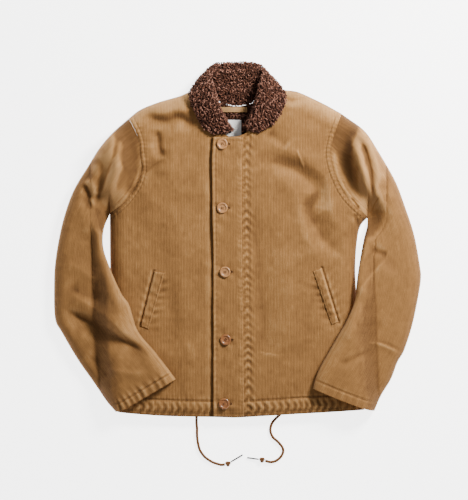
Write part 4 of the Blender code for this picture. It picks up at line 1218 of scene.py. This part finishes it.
def spun_thread(name, dark, light):
    """Cotton sewing thread or braided cord: matt, with painted shade darkening a cord where its strands meet."""
    finish = new_finish(name, Roughness=.85, Specular_IOR_Level=.15)
    tree = finish.node_tree
    shader = tree.nodes["Principled BSDF"]
    places = add(tree, "ShaderNodeTexCoord").outputs["Object"]
    tone = add(tree, "ShaderNodeAttribute", attribute_name="tone").outputs["Fac"]
    fine = add(tree, "ShaderNodeTexNoise", {"Vector": places, "Scale": 900.0, "Detail": 3.0})
    # tone: painted shade, darker in the grooves where the braid's strands meet
    value = add(tree, "ShaderNodeMath", {0: tone, 1: .35, 2: fine.outputs["Fac"]}, operation="MULTIPLY_ADD")
    colour = ramp(tree, value.outputs[0], ((.2, dark), (.9, light)))
    tree.links.new(colour, shader.inputs["Base Color"])
    bump = add(tree, "ShaderNodeBump", {"Height": fine.outputs["Fac"], "Strength": .5, "Distance": .0004})
    tree.links.new(bump.outputs["Normal"], shader.inputs["Normal"])
    return finish


def woven_tape(name, dark, light, pitch):
    """A narrow close-woven tape or label: fine even ribs across its length."""
    finish = new_finish(name, Roughness=.7, Specular_IOR_Level=.2)
    tree = finish.node_tree
    shader = tree.nodes["Principled BSDF"]
    weave = add(tree, "ShaderNodeAttribute", attribute_name="weave").outputs["Vector"]
    ribs = add(tree, "ShaderNodeTexWave", {"Vector": weave, "Scale": 2 * math.pi / pitch / 6.0, "Distortion": 1.5,
                                           "Detail": 2.0, "Detail Scale": 2.0})
    fine = add(tree, "ShaderNodeTexNoise", {"Vector": weave, "Scale": .8, "Detail": 4.0})
    value = add(tree, "ShaderNodeMath", {0: ribs.outputs["Fac"], 1: .3, 2: fine.outputs["Fac"]},
                operation="MULTIPLY_ADD")
    colour = ramp(tree, value.outputs[0], ((.25, dark), (.85, light)))
    tree.links.new(colour, shader.inputs["Base Color"])
    bump = add(tree, "ShaderNodeBump", {"Height": value.outputs[0], "Strength": .4, "Distance": .0003})
    tree.links.new(bump.outputs["Normal"], shader.inputs["Normal"])
    return finish


def turned_button(name, dark, light):
    """Vegetable ivory, turned and polished: faint streaks of grain under a satin gloss."""
    finish = new_finish(name, Roughness=.38, Coat_Weight=.25, Coat_Roughness=.2)
    tree = finish.node_tree
    shader = tree.nodes["Principled BSDF"]
    places = add(tree, "ShaderNodeTexCoord").outputs["Object"]
    drawn_out = add(tree, "ShaderNodeMapping", {"Vector": places, "Scale": (90.0, 420.0, 200.0),
                                                "Rotation": (0, 0, .5)})
    grain = add(tree, "ShaderNodeTexNoise", {"Vector": drawn_out.outputs[0], "Scale": 1.0, "Detail": 5.0,
                                             "Roughness": .6, "Distortion": .6})
    colour = ramp(tree, grain.outputs["Fac"], ((.3, dark), (.7, light)))
    tree.links.new(colour, shader.inputs["Base Color"])
    bump = add(tree, "ShaderNodeBump", {"Height": grain.outputs["Fac"], "Strength": .15, "Distance": .0002})
    tree.links.new(bump.outputs["Normal"], shader.inputs["Normal"])
    return finish


def shrunk_tip():
    """A cord end sealed in black nylon: smooth, with a soft gloss and faint fine mottling."""
    finish = new_finish("shrunk_tip", Roughness=.35)
    tree = finish.node_tree
    shader = tree.nodes["Principled BSDF"]
    places = add(tree, "ShaderNodeTexCoord").outputs["Object"]
    fine = add(tree, "ShaderNodeTexNoise", {"Vector": places, "Scale": 600.0, "Detail": 3.0})
    tree.links.new(ramp(tree, fine.outputs["Fac"], ((.3, "#0E0C0C"), (.7, "#231E1D"))),
                   shader.inputs["Base Color"])
    return finish


def floor_and_light():
    """A plain white table, one large soft light from the upper right, and pale light from all round."""
    bm = bmesh.new()
    bmesh.ops.create_grid(bm, x_segments=1, y_segments=1, size=6.0)
    mesh = bpy.data.meshes.new("table_top")
    bm.to_mesh(mesh)
    bm.free()
    floor = bpy.data.objects.new("table_top", mesh)
    bpy.context.scene.collection.objects.link(floor)
    floor.location.z = -0.0004
    paint = new_finish("white_table", Roughness=.9)
    shader = paint.node_tree.nodes["Principled BSDF"]
    shader.inputs["Base Color"].default_value = linear("#FBFBFA")
    shader.inputs["Emission Color"].default_value = linear("#FFFFFF")
    shader.inputs["Emission Strength"].default_value = 4.0
    mesh.materials.append(paint)

    world = bpy.data.worlds.new("studio")
    world.use_nodes = True
    world.node_tree.nodes["Background"].inputs["Color"].default_value = linear("#F2F5FA")
    world.node_tree.nodes["Background"].inputs["Strength"].default_value = .42
    bpy.context.scene.world = world

    for name, way, distance, size, energy in (("key", (.70, .66, .80), 2.0, .6, 95.0),
                                              ("fill", (-.5, -.4, 1.5), 3.5, 3.0, 8.0)):
        data = bpy.data.lights.new(name, "AREA")
        data.shape, data.size, data.energy = "DISK", size, energy
        data.color = (1.0, .98, .95)
        lamp = bpy.data.objects.new(name, data)
        bpy.context.scene.collection.objects.link(lamp)
        lamp.location = Vector(way).normalized() * distance
        lamp.rotation_euler = (-lamp.location).to_track_quat("-Z", "Y").to_euler()


def place_camera():
    data = bpy.data.cameras.new("camera")
    data.sensor_width = SENSOR
    data.lens = SENSOR * CAMERA_HEIGHT / VIEW_LONG_SIDE
    data.clip_end = 50.0
    camera = bpy.data.objects.new("camera", data)
    camera.location = (VIEW_CENTRE[0] * MM, VIEW_CENTRE[1] * MM, CAMERA_HEIGHT * MM)
    bpy.context.scene.collection.objects.link(camera)
    bpy.context.scene.camera = camera


def sewing(thread, sleeve_tops):
    """All the rows of stitches that show, on the surfaces they hold together."""
    rows = []
    x = np.linspace(-246, CENTRE_X - 34, 60)
    rows.append(over(body_height, np.column_stack([x, hem_y(x) + HEM_STITCH])))
    rows.append(over(body_height, np.column_stack([x, hem_y(x) + CASING])))
    x = np.linspace(18, 260, 60)
    rows.append(over(body_height, np.column_stack([x, hem_y(x) + HEM_STITCH])))
    x = np.linspace(59, 258, 60)
    rows.append(over(body_height, np.column_stack([x, hem_y(x) + CASING])))
    rows.append(over(body_height, evenly([(59, -368), (59, -334)], 12)))
    for side in ("right", "left"):
        armhole = smooth_line(ARMHOLE[side], 8)
        step = np.gradient(armhole, axis=0)
        inward = np.stack([-step[:, 1], step[:, 0]], axis=1)
        inward /= np.linalg.norm(inward, axis=1, keepdims=True)
        inward *= np.sign(inward[:, :1] * (1 if side == "right" else -1))
        for away in FELL:
            rows.append(over(body_height, (armhole + inward * away)[2:-2]))
        top = sleeve_tops[side]
        from_cuff = np.linalg.norm(top - top[-1:], axis=2).mean(axis=1)
        row = int(np.argmin(np.abs(from_cuff - CUFF_STITCH[side])))
        line = top[row, 6:-6]
        rows.append(line + (0, 0, .2))
        inner_top, outer_top, outer_low, inner_low = (np.array(c, float) for c in WELTS[side])
        inset = [inner_top * .82 + outer_top * .18, inner_low * .82 + outer_low * .18]
        inset[0] = inset[0] * .97 + inner_low * .03
        welt_over = functools.partial(over, lambda a, b: body_height(a, b) + WELT_WALL + .1)
        rows.append(welt_over(evenly(inset, 30)))
        rows.append(over(body_height, evenly([inner_top * 1.0 + (0, 4.5), outer_top + (0, 4.5)], 8)))
        rows.append(over(body_height, evenly([inner_low * 1.0 - (0, 4.5), outer_low - (0, 4.5)], 8)))
    y = np.linspace(FLAP_Y[0] + 8, FLAP_Y[-1] - 8, 160)
    left, right = np.interp(y, FLAP_Y, FLAP_LEFT_X), np.interp(y, FLAP_Y, FLAP_RIGHT_X)
    rows.append(over(flap_height, np.column_stack([left + 8, y])))
    rows.append(over(flap_height, np.column_stack([right - 3.5, y])))
    rows.append(over(body_height, np.column_stack([right + 15, y])))
    for up in (FLAP_Y[-1] - 3.5, FLAP_Y[-1] - 9.5, FLAP_Y[0] + 7):
        rows.append(over(flap_height, evenly([(-45, up), (7, up)], 20)))
    piece = stitches("topstitching", rows, thread)


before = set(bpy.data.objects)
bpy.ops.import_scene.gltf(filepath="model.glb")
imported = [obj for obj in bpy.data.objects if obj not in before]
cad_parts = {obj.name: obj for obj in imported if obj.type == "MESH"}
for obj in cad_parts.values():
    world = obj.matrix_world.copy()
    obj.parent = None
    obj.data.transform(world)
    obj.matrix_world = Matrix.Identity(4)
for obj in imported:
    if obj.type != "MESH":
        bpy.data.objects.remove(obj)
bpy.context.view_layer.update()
place_camera()
string = spun_thread("braided_cotton_cord", "#3A2312", "#7E5736")
nylon = shrunk_tip()
for wearer_side in ("right", "left"):
    drawstring(wearer_side, string, nylon)

cotton = corded_cotton()
fleece = curly_pile()
back(cotton)
tops = {}
for wearer_side in ("right", "left"):
    front(wearer_side, cotton)
    tops[wearer_side] = sleeve(wearer_side, cotton)
    pocket_welt(wearer_side, cotton)
wind_flap(cotton)
collar(fleece)
neck_lining(fleece)
flat_strip("hanger_tape", "hanger_loop", LOOP_X, LOOP_Y, LOOP_ARCH, LOOP_WALL, (54, 18), loop_relief,
           woven_tape("cotton_tape", "#7E5B36", "#AE885A", 1.1))
flat_strip("woven_label", "neck_label", LABEL_X, LABEL_Y, 0, LABEL_WALL, (30, 30), label_relief,
           woven_tape("label_satin", "#D6D5D1", "#F6F5F2", .7))
pale = turned_button("corozo_pale", "#875831", "#B48250")
deep = turned_button("corozo_deep", "#6A3E1A", "#985F30")
buttons((pale, pale, pale, deep, deep), spun_thread("button_thread", "#1D110A", "#452C1A"))
buttonholes(spun_thread("buttonhole_twist", "#3A2413", "#6E4C2C"))
sewing(spun_thread("sewing_thread", "#62462A", "#9A754C"), tops)
floor_and_light()
